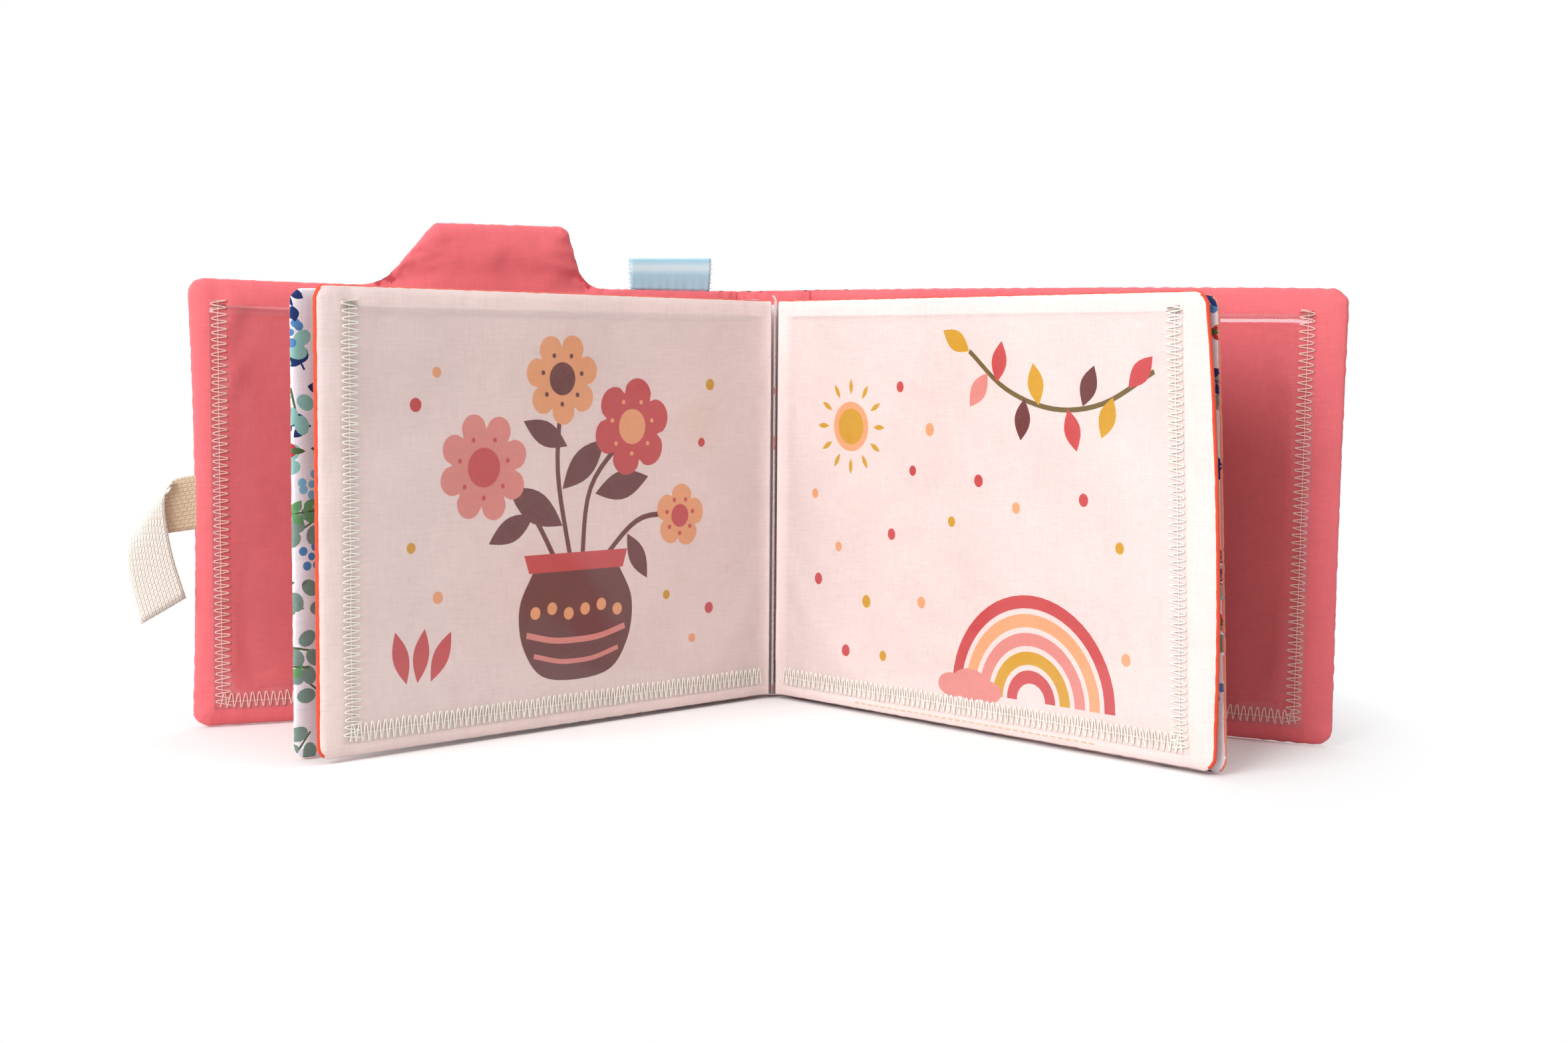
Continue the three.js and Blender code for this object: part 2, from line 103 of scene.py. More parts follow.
class AlbumCoverSettings(bpy.types.PropertyGroup):
    """Sizes of the cover and its spine band"""

    width: length("Width", "From the fold line to the fore edge", 0.1935)
    height: length("Height", "Height of the cover", 0.146)
    corner: length("Corner", "Radius of the outer corners", 0.006)
    fullness: length("Fullness", "Half of the padded thickness", 0.00275)
    roll: length("Roll", "How far in from the hem the padding is full", 0.011)
    hump_top: length("Hump top", "Height of the hump's flat top", 0.1672)
    spine_width: length("Spine width", "Width between the two fold lines", 0.027)
    spine_fullness: length("Spine fullness", "Half of the spine band's thickness", 0.00205)


class AlbumLeafSettings(bpy.types.PropertyGroup):
    """Sizes of the padded leaves"""

    inner_width: length("Inner width", "Width of an inner leaf", 0.1877)
    outer_width: length("Outer width", "Width of an outer leaf", 0.1885)
    height: length("Height", "Height of a leaf", 0.142)
    corner: length("Corner", "Radius of the outer corners", 0.0045)
    fullness: length("Fullness", "Half of the padded thickness", 0.0015)
    roll: length("Roll", "How far in from the hem the padding is full", 0.0048)
    slant: length("Slant", "How much longer the right leaves are at the foot", 0.0066)
    lift: length("Lift", "How far the inner sheet hangs clear of the floor", 0.001)


class AlbumSewingSettings(bpy.types.PropertyGroup):
    """Threads, rows and clear windows"""

    thread: length("Thread", "Thickness of the sewing thread", 0.0005)
    row_width: length("Row width", "Width of the zigzag rows", 0.0056)
    pitch: length("Pitch", "Length of one zigzag stitch", 0.0023)
    running_pitch: length("Running pitch", "Length of one straight stitch", 0.0025)
    window: length("Window", "Thickness of the clear window sheet", 0.00014)
    pucker: length("Pucker", "Depth of the gathers along a hem", 0.0004)
    scallop: length("Scallop", "How far a hem is drawn in between its stitches", 0.0003)
    rim: length("Rim", "How far a leaf's back cloth shows on its front", 0.0008)


class AlbumTrimSettings(bpy.types.PropertyGroup):
    """Strap and ribbon tag"""

    strap_width: length("Strap width", "Width of the webbing", 0.0174)
    strap_thickness: length("Strap thickness", "Thickness of the webbing", 0.0013)
    tag_width: length("Tag width", "Width of the ribbon", 0.0306)
    tag_height: length("Tag height", "Height of the folded ribbon", 0.0112)
    picots: IntProperty(name="Picots", description="Loops on one edge of the ribbon", default=15)


class AlbumColourSettings(bpy.types.PropertyGroup):
    """Colours of the cloth, webbing and thread"""

    lining: colour("Lining", "Cover's inside", linear(242, 121, 128))
    cover: colour("Cover", "Cover's outside", linear(242, 121, 128))
    blush: colour("Blush", "Ground of the inner fronts", linear(252, 230, 226))
    orange: colour("Orange", "Inner leaves' backs", linear(233, 88, 62))
    white: colour("White", "Ground of the outer fronts", linear(238, 238, 246))
    salmon: colour("Salmon", "Outer leaves' backs", linear(236, 142, 120))
    webbing: colour("Webbing", "Cotton webbing", linear(255, 252, 242))
    thread: colour("Thread", "Sewing thread", linear(255, 250, 238))
    ribbon: colour("Ribbon", "Satin ribbon", linear(188, 236, 255))


INKS = {
    "maroon": linear(118, 66, 66),
    "coral": linear(216, 84, 86),
    "peach": linear(252, 178, 130),
    "rose": linear(238, 150, 142),
    "mustard": linear(224, 168, 48),
    "olive": linear(122, 104, 62),
    "navy": linear(38, 58, 112),
    "blue": linear(84, 140, 196),
    "sky": linear(128, 190, 222),
    "teal": linear(140, 196, 190),
    "leaf": linear(104, 160, 110),
    "sage": linear(126, 154, 144),
    "stem": linear(84, 108, 72),
    "berry": linear(196, 52, 64),
}


# Flat shapes, in millimetres


def rounded_outline(corners, spacing):
    """Points along a polygon whose corners are (s, z, radius), counter-clockwise."""
    arcs = []
    for i, (s, z, radius) in enumerate(corners):
        tip = Vector((s, z))
        before = (tip - Vector(corners[i - 1][:2])).normalized()
        after = (Vector(corners[(i + 1) % len(corners)][:2]) - tip).normalized()
        turn = math.atan2(before.x * after.y - before.y * after.x, before.dot(after))
        first = tip - before * radius * math.tan(abs(turn) / 2)
        side = Vector((-before.y, before.x)) * math.copysign(1, turn)
        centre = first + side * radius
        steps = max(3, math.ceil(abs(turn) * radius / spacing * 2))
        arms = [Matrix.Rotation(turn * k / steps, 2) @ (first - centre) for k in range(steps + 1)]
        arcs.append([centre + arm for arm in arms])
    outline = []
    for i, arc in enumerate(arcs):
        outline.extend(arc)
        start, end = arc[-1], arcs[(i + 1) % len(arcs)][0]
        pieces = max(1, round((end - start).length / spacing))
        outline.extend(start.lerp(end, k / pieces) for k in range(1, pieces))
    return np.array([point[:] for point in outline])


def edge_distance(outline, points):
    """Distance of each point from the outline, and how far round the outline it lies."""
    starts = outline
    sides = np.roll(outline, -1, axis=0) - starts
    lengths = np.linalg.norm(sides, axis=1)
    round_to = np.concatenate([[0], np.cumsum(lengths)[:-1]])
    distances = np.empty(len(points))
    places = np.empty(len(points))
    for first in range(0, len(points), 2000):
        chunk = points[first : first + 2000, None, :] - starts[None]
        share = np.clip((chunk * sides).sum(axis=2) / (lengths**2), 0, 1)
        gaps = np.linalg.norm(chunk - share[..., None] * sides, axis=2)
        nearest = gaps.argmin(axis=1)
        rows = np.arange(len(nearest))
        distances[first : first + 2000] = gaps[rows, nearest]
        places[first : first + 2000] = round_to[nearest] + share[rows, nearest] * lengths[nearest]
    return distances, places


def inside_outline(outline, points):
    """Which points lie inside the outline."""
    s, z = points[:, 0], points[:, 1]
    inside = np.zeros(len(points), dtype=bool)
    for (s0, z0), (s1, z1) in zip(outline, np.roll(outline, -1, axis=0)):
        if z0 == z1:
            continue
        crosses = ((z0 > z) != (z1 > z)) & (s < (s1 - s0) * (z - z0) / (z1 - z0) + s0)
        inside ^= crosses
    return inside


def turned(points, centre, degrees):
    angle = math.radians(degrees)
    cos, sin = math.cos(angle), math.sin(angle)
    return [(centre[0] + x * cos - z * sin, centre[1] + x * sin + z * cos) for x, z in points]


def oval(centre, half_width, half_height, degrees=0, steps=26):
    angles = [2 * math.pi * k / steps for k in range(steps)]
    points = [(half_width * math.cos(a), half_height * math.sin(a)) for a in angles]
    return turned(points, centre, degrees)


def blade(foot, reach, half_width, degrees, steps=9):
    """A pointed leaf or petal that grows from its foot."""
    low = [(reach * k / steps, -half_width * math.sin(math.pi * k / steps)) for k in range(steps)]
    high = [(reach * k / steps, half_width * math.sin(math.pi * k / steps)) for k in range(steps, 0, -1)]
    return turned(low + high, foot, degrees)


def bloom(centre, radius, petals, depth, degrees=0):
    steps = petals * 10
    points = []
    for k in range(steps):
        angle = 2 * math.pi * k / steps
        reach = radius * (1 - depth + depth * abs(math.cos(petals * angle / 2)) ** 0.6)
        points.append((reach * math.cos(angle), reach * math.sin(angle)))
    return turned(points, centre, degrees)


def arch(centre, outer, inner, steps=28):
    angles = [math.pi * k / steps for k in range(steps + 1)]
    over = [(outer * math.cos(a), outer * math.sin(a)) for a in angles]
    under = [(inner * math.cos(a), inner * math.sin(a)) for a in reversed(angles)]
    return turned(over + under, centre, 0)


def stem(points, half_width):
    """A band of even width along a smooth line through the points."""
    line = smooth_line([Vector(point) for point in points], 6)
    left, right = [], []
    for i, point in enumerate(line):
        along = (line[min(i + 1, len(line) - 1)] - line[max(i - 1, 0)]).normalized()
        side = Vector((-along.y, along.x)) * half_width
        left.append((point - side)[:])
        right.append((point + side)[:])
    return left + right[::-1]


def smooth_line(points, steps):
    """A Catmull-Rom line through the points."""
    if len(points) == 2:
        return points
    padded = [points[0] * 2 - points[1], *points, points[-1] * 2 - points[-2]]
    line = []
    for a, b, c, d in zip(padded, padded[1:], padded[2:], padded[3:]):
        for k in range(steps):
            t = k / steps
            line.append(
                0.5 * (2 * b + (c - a) * t + (2 * a - 5 * b + 4 * c - d) * t * t)
                + 0.5 * (3 * b - a - 3 * c + d) * t**3
            )
    line.append(points[-1].copy())
    return line


# Prints: lists of (ink, outline), drawn in order


def sprig(shapes, foot, degrees, size, ink, stem_ink, pairs=2):
    """A stem with leaves in pairs and one at its tip."""
    direction = Vector((math.cos(math.radians(degrees)), math.sin(math.radians(degrees))))
    foot = Vector(foot)
    tip = foot + direction * size
    shapes.append((stem_ink, stem([foot[:], tip[:]], size * 0.03)))
    for k in range(pairs):
        spot = foot.lerp(tip, 0.2 + 0.7 * k / pairs)
        for side in (-1, 1):
            shapes.append((ink, blade(spot[:], size * 0.46, size * 0.14, degrees + side * 50, 6)))
    shapes.append((ink, blade(tip[:], size * 0.46, size * 0.15, degrees, 6)))


def berries(shapes, centre, size, ink, seed):
    chance = random.Random(seed)
    for k in range(5):
        angle = 2 * math.pi * k / 5 + chance.random()
        spot = (centre[0] + size * math.cos(angle), centre[1] + size * math.sin(angle))
        shapes.append((ink, oval(spot, size * 0.44, size * 0.44, steps=11)))
    shapes.append((ink, oval(centre, size * 0.38, size * 0.38, steps=11)))


def meadow_print(width, height, seed):
    """Sprigs, round leaves and berries scattered all over a white ground."""
    chance = random.Random(seed)
    shapes = []
    step = 11.4
    kinds = ["navy", "teal", "blue", "leaf", "sage", "sky", "navy", "berry"]
    row = 0
    z = -2.0
    while z < height + 6:
        s = -4.0 + (row % 2) * step / 2
        while s < width + 8:
            spot = (s + chance.uniform(-2.2, 2.2), z + chance.uniform(-2.2, 2.2))
            kind = chance.choice(kinds)
            turn = chance.uniform(0, 360)
            if kind in ("navy", "leaf"):
                sprig(shapes, spot, turn, 10.5, kind, kind if kind == "navy" else "stem")
            elif kind in ("teal", "sage"):
                shapes.append(("stem", stem([spot, turned([(8.5, 0.8)], spot, turn)[0]], 0.3)))
                for reach, side in ((2.4, 2.9), (5.4, -3.0), (8.2, 2.7), (11.6, 0)):
                    centre = turned([(reach, side)], spot, turn)[0]
                    shapes.append((kind, oval(centre, 3.0, 2.3, turn + side * 14, steps=13)))
            elif kind in ("blue", "sky"):
                berries(shapes, spot, 3.2, kind, chance.random())
            else:
                shapes.append(("berry", oval(spot, 2.8, 2.5, turn, steps=13)))
                shapes.append(("stem", blade(spot, 5.6, 1.0, turn, 5)))
            s += step
        z += step * 0.82
        row += 1
    return shapes


def pot_print():
    """A round-bellied pot of flowers, on the left inner leaf."""
    shapes = []
    for points in (
        [(92, 52), (96, 78), (112, 96)],
        [(88, 52), (82, 84), (84, 112)],
        [(84, 50), (70, 72), (54, 84)],
        [(97, 50), (116, 66), (134, 68)],
    ):
        shapes.append(("maroon", stem(points, 0.9)))
    for foot, degrees, reach in (
        ((84, 66), 150, 26), ((84, 78), 42, 24), ((98, 76), 12, 24),
        ((72, 70), 205, 20), ((112, 62), 300, 18), ((86, 92), 155, 20),
    ):
        shapes.append(("maroon", blade(foot, reach, reach * 0.2, degrees)))
    flowers = (
        ((114, 98), 16.5, 6, "coral", "peach"),
        ((84, 114), 15, 7, "peach", "maroon"),
        ((52, 86), 17.5, 8, "rose", "coral"),
        ((136, 67), 11, 5, "peach", "coral"),
    )
    for centre, radius, petals, ink, heart in flowers:
        shapes.append((ink, bloom(centre, radius, petals, 0.3, radius)))
        shapes.append((heart, oval(centre, radius * 0.36, radius * 0.36)))
        for k in range(7):
            spot = turned([(radius * 0.55, 0)], centre, k * 360 / 7 + 12)[0]
            shapes.append((heart, oval(spot, 0.8, 0.8, steps=12)))
    body = [(72, 52), (66, 40), (68, 26), (78, 16), (102, 16), (112, 26), (114, 40), (108, 52)]
    shapes.append(("maroon", [p[:] for p in smooth_line([Vector(p) for p in body], 6)]))
    shapes.append(("coral", [(70, 51), (110, 51), (112, 57), (68, 57)]))
    for k in range(6):
        shapes.append(("peach", oval((72.6 + k * 7, 38 + 1.2 * math.sin(k * 2.1)), 2.1, 2.1, steps=18)))
    shapes.append(("rose", stem([(69, 31), (80, 28.5), (90, 28), (100, 28.5), (111, 31)], 1.0)))
    shapes.append(("rose", stem([(72, 24), (82, 21.5), (90, 21), (98, 21.5), (108, 24)], 0.8)))
    for foot, degrees in (((26, 20), 80), ((31, 20), 62), ((22, 20), 104)):
        shapes.append(("coral", blade(foot, 17, 3.0, degrees)))
    for spot, radius, ink in (
        ((26, 106), 2.2, "coral"), ((34, 116), 1.7, "peach"), ((24, 62), 1.7, "mustard"),
        ((150, 34), 2.0, "coral"), ((142, 24), 1.6, "peach"), ((150, 112), 2.0, "mustard"),
        ((34, 46), 2.0, "peach"), ((146, 92), 1.6, "coral"), ((130, 40), 1.6, "mustard"),
    ):
        shapes.append((ink, oval(spot, radius, radius, steps=18)))
    return shapes


def rainbow_print():
    """Rainbow arches, a sun and a leafy branch, on the right inner leaf."""
    shapes = []
    centre = (118, 12.5)
    bands = ((34, "coral"), (28, "peach"), (22, "rose"), (16, "mustard"), (10, "coral"))
    for outer, ink in bands:
        shapes.append((ink, arch(centre, outer, outer - 4.2)))
    for spot, radius in (((92, 15), 6.5), ((84, 14), 5), ((100, 13.5), 4.5)):
        shapes.append(("rose", oval(spot, radius * 1.25, radius * 0.8)))
    sun = (36, 98)
    for k in range(12):
        spot = turned([(11, 0)], sun, k * 30)[0]
        shapes.append(("mustard", blade(spot, 5.5, 0.9, k * 30)))
    shapes.append(("peach", oval(sun, 8.6, 8.6)))
    shapes.append(("mustard", oval(sun, 6.2, 6.2)))
    branch = [(168, 118), (148, 108), (128, 106), (108, 112), (92, 124)]
    shapes.append(("olive", stem(branch, 0.8)))
    leaves = (
        ((152, 110), 250, "mustard"), ((140, 107), 70, "maroon"), ((134, 106), 285, "coral"),
        ((122, 107), 100, "mustard"), ((116, 109), 262, "maroon"), ((104, 114), 80, "coral"),
        ((100, 117), 235, "rose"), ((158, 113), 45, "coral"), ((92, 124), 150, "mustard"),
    )
    for foot, degrees, ink in leaves:
        shapes.append((ink, blade(foot, 13.5, 3.3, degrees)))
    for spot, radius, ink in (
        ((20, 44), 1.9, "coral"), ((30, 56), 1.6, "peach"), ((44, 38), 2.0, "mustard"),
        ((56, 62), 1.8, "coral"), ((66, 84), 1.6, "coral"), ((74, 98), 2.0, "peach"),
        ((60, 112), 1.7, "coral"), ((84, 68), 1.6, "mustard"), ((70, 40), 1.8, "peach"),
        ((96, 82), 1.9, "coral"), ((112, 74), 1.7, "peach"), ((140, 78), 1.9, "coral"),
        ((154, 64), 1.7, "mustard"), ((18, 74), 1.6, "peach"), ((34, 20), 1.9, "coral"),
        ((52, 20), 1.6, "mustard"), ((156, 30), 1.8, "peach"),
    ):
        shapes.append((ink, oval(spot, radius, radius * 1.1, steps=18)))
    return shapes


# Panels


class Place:
    """Where a panel stands: its fold line, the way it runs out and the way it faces."""

    def __init__(self, x, y, lift, angle, hand):
        turn = math.radians(angle)
        self.origin = Vector((x, y, lift))
        self.out = Vector((-hand * math.sin(turn), -math.cos(turn), 0))
        self.inside = Vector((hand * math.cos(turn), -math.sin(turn), 0))
        self.mirrored = hand < 0

    def point(self, s, z, n):
        """World point in metres, of a spot in millimetres."""
        return self.origin + MM * (self.out * s + self.inside * n) + Vector((0, 0, MM * z))


class SpinePlace(Place):
    """The spine band stands square behind the gutter and is measured from its middle."""

    def __init__(self, y):
        self.origin = Vector((0, y, 0))
        self.out = Vector((1, 0, 0))
        self.inside = Vector((0, -1, 0))
        self.mirrored = True


class Quilt:
    """A padded panel: an outline filled with wadding, sewn along its hem and its rows.

    The rows say where its window is sewn down. The shape holds what departs from a plain panel,
    such as a slanting or bowed fore edge, gathers, creases and the rise of the top edge.
    """

    def __init__(self, name, place, corners, full, roll, rows, seed, waves, **shape):
        self.name = name
        self.place = place
        self.full = full
        self.roll = roll
        self.rows = rows
        self.seed = seed
        self.waves = waves
        self.slant = shape.get("slant", 0.0)
        self.bow = shape.get("bow", 0.0)
        self.scallop = shape.get("scallop", 1.0)
        self.rim = shape.get("rim", 0.0)
        self.lean = shape.get("lean", 0.0)
        self.gathered = shape.get("gathered", ())
        self.creases = shape.get("creases", ())
        self.crown = shape.get("crown", ((0, 0),))
        self.right = max(s for s, _, _ in corners)
        self.left = min(s for s, _, _ in corners)
        self.top = max(z for _, z, _ in corners)
        self.height = corners[1][1] + corners[2][1]
        self.outline = self.drawn_in(rounded_outline(corners, 1.4))
        self.relief = {}

    def drawn_in(self, outline):
        """The hem of a sewn panel: drawn in between its stitches, and bowed along its fore edge."""
        before, after = np.roll(outline, 1, axis=0), np.roll(outline, -1, axis=0)
        along = after - before
        along /= np.linalg.norm(along, axis=1)[:, None]
        place = np.cumsum(np.linalg.norm(outline - before, axis=1))
        waves = [
            noise.noise(Vector((t / 2.8, self.seed, 5)))
            + 0.5 * noise.noise(Vector((t / 1.5, self.seed, 9)))
            for t in place
        ]
        depth = settings_mm("sewing", "scallop") * self.scallop * np.clip(0.45 + np.array(waves), 0, 1)
        depth *= np.clip((outline[:, 0] - self.left) / 6, 0, 1)
        share = np.clip(outline[:, 1] / self.height, 0, 1)
        depth += np.where(outline[:, 0] > self.right - 0.2, self.bow * (1 - (2 * share - 1) ** 2), 0)
        return outline + depth[:, None] * np.stack([-along[:, 1], along[:, 0]], axis=1)

    def slanted(self, points):
        """The outer edge leans where it was cut longer at its foot, and the top edge is uneven."""
        moved = np.array(points, dtype=float)
        share = (moved[:, 0] / self.right) * (0.5 - moved[:, 1] / self.height)
        rise = np.interp(moved[:, 0], *zip(*self.crown))
        moved[:, 0] += self.slant * share
        moved[:, 1] += rise * np.clip(moved[:, 1] / self.height, 0, 1) ** 2
        return moved

    def half_thickness(self, points, side):
        """Height of the cloth above the panel's middle on one side, in millimetres."""
        points = np.atleast_2d(np.array(points, dtype=float))
        distance, place = edge_distance(self.outline, points)
        inside = inside_outline(self.outline, points)
        share = np.clip(distance / self.roll, 0, 1)
        height = self.full * (1 - (1 - share) ** 2.3) ** (1 / 2.1)
        gathers = np.array(
            [noise.noise(Vector((t / 4.2, 3.1 * side, self.seed))) for t in place]
        )
        ripples = np.array(
            [noise.noise(Vector((t / 1.9, 8.7 * side, self.seed + 4))) for t in place]
        )
        pucker = settings_mm("sewing", "pucker") * self.gather_share(points)
        depth = pucker * (0.9 * np.abs(gathers) + 0.5 * ripples)
        height -= depth * np.exp(-distance / (1.2 + 2.4 * self.gather_share(points))) * share**0.4
        if self.rim and side == 1:
            height -= 0.16 * np.exp(-(((distance - self.rim) / 0.35) ** 2))
        drift = np.array(
            [
                noise.noise(Vector((s / 34, z / 41, self.seed + 9 * side)))
                + 0.5 * noise.noise(Vector((s / 13, z / 17, self.seed + 17 * side)))
                for s, z in points
            ]
        )
        height += self.waves * (drift - 0.55) * np.clip(distance / (self.roll * 1.5), 0, 1)
        height -= self.row_groove(points) + self.pinched(points)
        if side in self.relief:
            height += self.sample_relief(points, side)
        return np.where(inside | (distance < 0.01), np.maximum(height, 0), 0)

    def gather_share(self, points):
        """How much stronger the gathers are near the spots where the hem is held short."""
        strength = np.ones(len(points))
        for s, z, reach, extra in self.gathered:
            away = np.hypot(points[:, 0] - s, points[:, 1] - z)
            strength += extra * np.exp(-((away / reach) ** 2))
        return strength

    def pinched(self, points):
        """How deep the cloth is pinched along its creases, each deepest at its first end."""
        depth = np.zeros(len(points))
        for first, last, width, most in self.creases:
            along = np.subtract(last, first)
            share = np.clip((points - first) @ along / (along @ along), 0, 1)
            away = np.linalg.norm(points - first - share[:, None] * along, axis=1)
            depth += most * (1 - share) ** 0.7 * np.exp(-((away / width) ** 2))
        return depth

    def row_groove(self, points):
        """How deep the sewn rows pull the cloth in."""
        if not self.rows:
            return np.zeros(len(points))
        half = settings_mm("sewing", "row_width") * self.rows["share"] / 2
        column = np.abs(self.right - self.rows["inset"] - half - points[:, 0])
        foot = np.abs(points[:, 1] - self.rows["foot"] - half)
        spread = half * 1.15
        return 0.24 * np.exp(-((np.minimum(column, foot) / spread) ** 4))

    def sample_relief(self, points, side):
        """Height that the stuffing adds, read off the settled cloth between its grid points."""
        grid, step = self.relief[side]
        u = np.clip((points[:, 0] - self.left) / step, 0, grid.shape[0] - 1.001)
        v = np.clip(points[:, 1] / step, 0, grid.shape[1] - 1.001)
        i, j = u.astype(int), v.astype(int)
        a, b = u - i, v - j
        return (
            grid[i, j] * (1 - a) * (1 - b)
            + grid[i + 1, j] * a * (1 - b)
            + grid[i, j + 1] * (1 - a) * b
            + grid[i + 1, j + 1] * a * b
        )

    def world(self, points, side, rises=0.0):
        """World points of spots on one side's cloth, or above it by their rises."""
        points = np.atleast_2d(np.array(points, dtype=float))
        root = np.clip((1.2 - points[:, 0]) / (1.2 - self.left), 0, 1)
        offsets = side * (self.half_thickness(points, side) + rises) + self.lean * root**2
        return [self.place.point(s, z, n) for (s, z), n in zip(self.slanted(points), offsets)]

    def rim_faces(self, middles):
        """Which front faces show the back cloth, where the seam has rolled towards the reader."""
        distance, _ = edge_distance(self.outline, middles)
        outer = middles[:, 0] > self.right - 2.5
        top = middles[:, 1] > self.top - 1.5
        return distance < self.rim * np.where(outer, 1.0, np.where(top, 0.5, 0.0))

    def flat_mesh(self, spacing, shapes=()):
        """The panel's flat cut, as points and triangles, with the print's outlines cut into it."""
        points = [tuple(point) for point in self.outline]
        faces = [list(range(len(points)))]
        rim = self.rim or 0.7
        rings = (rim * 0.5, rim, 1.6, 2.7)
        for inset in rings:
            points.extend(self.ring(inset))
        points.extend(self.filling(spacing, rings[-1] + spacing * 0.7))
        for _, shape in shapes:
            faces.append(list(range(len(points), len(points) + len(shape))))
            points.extend(shape)
        cut = delaunay_2d_cdt([Vector(point) for point in points], [], faces, 1, 1e-4, True)
        flat = np.array([vertex[:] for vertex in cut[0]])
        middles = flat[np.array(cut[2])].mean(axis=1)
        inside = inside_outline(self.outline, middles)
        kept = np.array(cut[2])[inside]
        tops = [max(ids, default=0) for ids, keep in zip(cut[5], inside) if keep]
        used, triangles = np.unique(kept, return_inverse=True)
        return flat[used], triangles.reshape(-1, 3).tolist(), tops

    def ring(self, inset):
        """The outline moved inwards, thinned where it would cross itself."""
        before = np.roll(self.outline, 1, axis=0)
        after = np.roll(self.outline, -1, axis=0)
        along = after - before
        along /= np.linalg.norm(along, axis=1)[:, None]
        moved = self.outline + inset * np.stack([-along[:, 1], along[:, 0]], axis=1)
        distance, _ = edge_distance(self.outline, moved)
        return [tuple(p) for p, gap in zip(moved, distance) if gap > inset * 0.97]

    def filling(self, spacing, inset):
        """Evenly staggered points inside the outline."""
        rows = np.arange(0, self.top + spacing, spacing * 0.866)
        columns = np.arange(self.left, self.right + spacing, spacing)
        points = np.array(
            [(s + (j % 2) * spacing / 2, z) for j, z in enumerate(rows) for s in columns]
        )
        distance, _ = edge_distance(self.outline, points)
        keep = inside_outline(self.outline, points) & (distance > inset)
        return [tuple(point) for point in points[keep]]

    def build(self, name, spacing, shapes=()):
        """A closed mesh of both cloths. Faces of the back cloth take the second material."""
        flat, triangles, tops = self.flat_mesh(spacing, shapes)
        distance, _ = edge_distance(self.outline, flat)
        hem = distance < 0.01
        front = self.world(flat, 1)
        back = self.world(flat, -1)
        back_index = {}
        vertices = list(front)
        for i, point in enumerate(back):
            if hem[i]:
                back_index[i] = i
            else:
                back_index[i] = len(vertices)
                vertices.append(point)
        flip = self.place.mirrored
        faces = [tri[::-1] if flip else list(tri) for tri in triangles]
        backs = [[back_index[i] for i in tri] for tri in triangles]
        faces += [list(tri) if flip else tri[::-1] for tri in backs]
        mesh = bpy.data.meshes.new(name)
        mesh.from_pydata([v[:] for v in vertices], [], faces)
        piece = bpy.data.objects.new(name, mesh)
        bpy.context.scene.collection.objects.link(piece)
        rolled = self.rim_faces(flat[np.array(triangles)].mean(axis=1))
        materials = rolled.astype(int).tolist() + [1] * len(triangles)
        mesh.polygons.foreach_set("material_index", materials)
        mesh.polygons.foreach_set("use_smooth", [True] * len(mesh.polygons))
        where = np.zeros((len(vertices), 2))
        where[: len(flat)] = flat
        for i, j in back_index.items():
            where[j] = flat[i]
        layer = mesh.uv_layers.new(name="cloth")
        loops = np.empty(len(mesh.loops), dtype=int)
        mesh.loops.foreach_get("vertex_index", loops)
        layer.data.foreach_set("uv", (where[loops] * MM / CLOTH_MAP).ravel())
        return piece, tops

    def stuff(self, pressure, cap, frames=16):
        """Lets the wadding swell the cloth between its sewn lines, and keeps the height it adds."""
        piece, _ = self.build(f"{self.name}_blank", 4.2)
        mesh = piece.data
        places = [
            ((v.co - self.place.origin).dot(self.place.out) / MM, v.co.z / MM) for v in mesh.vertices
        ]
        flat = np.array(places)
        distance, _ = edge_distance(self.outline, flat)
        sewn = (distance < 1.0) | (self.row_groove(flat) > 0.15)
        group = piece.vertex_groups.new(name="sewn")
        group.add([int(i) for i in np.nonzero(sewn)[0]], 1.0, "REPLACE")
        start = [v.co.copy() for v in mesh.vertices]
        cloth = piece.modifiers.new("wadding", "CLOTH")
        cloth.settings.quality = 4
        cloth.settings.mass = 0.12
        cloth.settings.tension_stiffness = 12
        cloth.settings.compression_stiffness = 12
        cloth.settings.bending_stiffness = 0.6
        cloth.settings.use_pressure = True
        cloth.settings.uniform_pressure_force = pressure
        cloth.settings.shrink_min = -0.012
        cloth.settings.vertex_group_mass = "sewn"
        cloth.settings.effector_weights.gravity = 0
        cloth.point_cache.frame_start = 1
        cloth.point_cache.frame_end = frames
        scene = bpy.context.scene
        for number in range(1, frames + 1):
            scene.frame_set(number)
        settled = piece.evaluated_get(bpy.context.evaluated_depsgraph_get())
        moved = [v.co.copy() for v in settled.data.vertices]
        for side in (1, -1):
            self.keep_relief(start, moved, flat, side, cap)
        bpy.data.objects.remove(piece)
        scene.frame_set(1)

    def keep_relief(self, start, moved, flat, side, cap, step=3.0):
        """Turns the settled cloth into a grid of heights over the flat cut."""
        columns = int((self.right - self.left) / step) + 2
        rows = int(self.top / step) + 2
        total = np.zeros((columns, rows))
        weight = np.full((columns, rows), 1e-6)
        middle = self.place.origin
        for a, b, (s, z) in zip(start, moved, flat):
            if side * (a - middle).dot(self.place.inside) < 0:
                continue
            rise = side * (b - a).dot(self.place.inside) / MM
            i, j = int((s - self.left) / step + 0.5), int(z / step + 0.5)
            for di in (-1, 0, 1):
                for dj in (-1, 0, 1):
                    if 0 <= i + di < columns and 0 <= j + dj < rows:
                        near = math.hypot((s - self.left) - (i + di) * step, z - (j + dj) * step)
                        share = math.exp(-((near / step) ** 2))
                        total[i + di, j + dj] += share * rise
                        weight[i + di, j + dj] += share
        self.relief[side] = (np.clip(total / weight, -cap, cap), step)


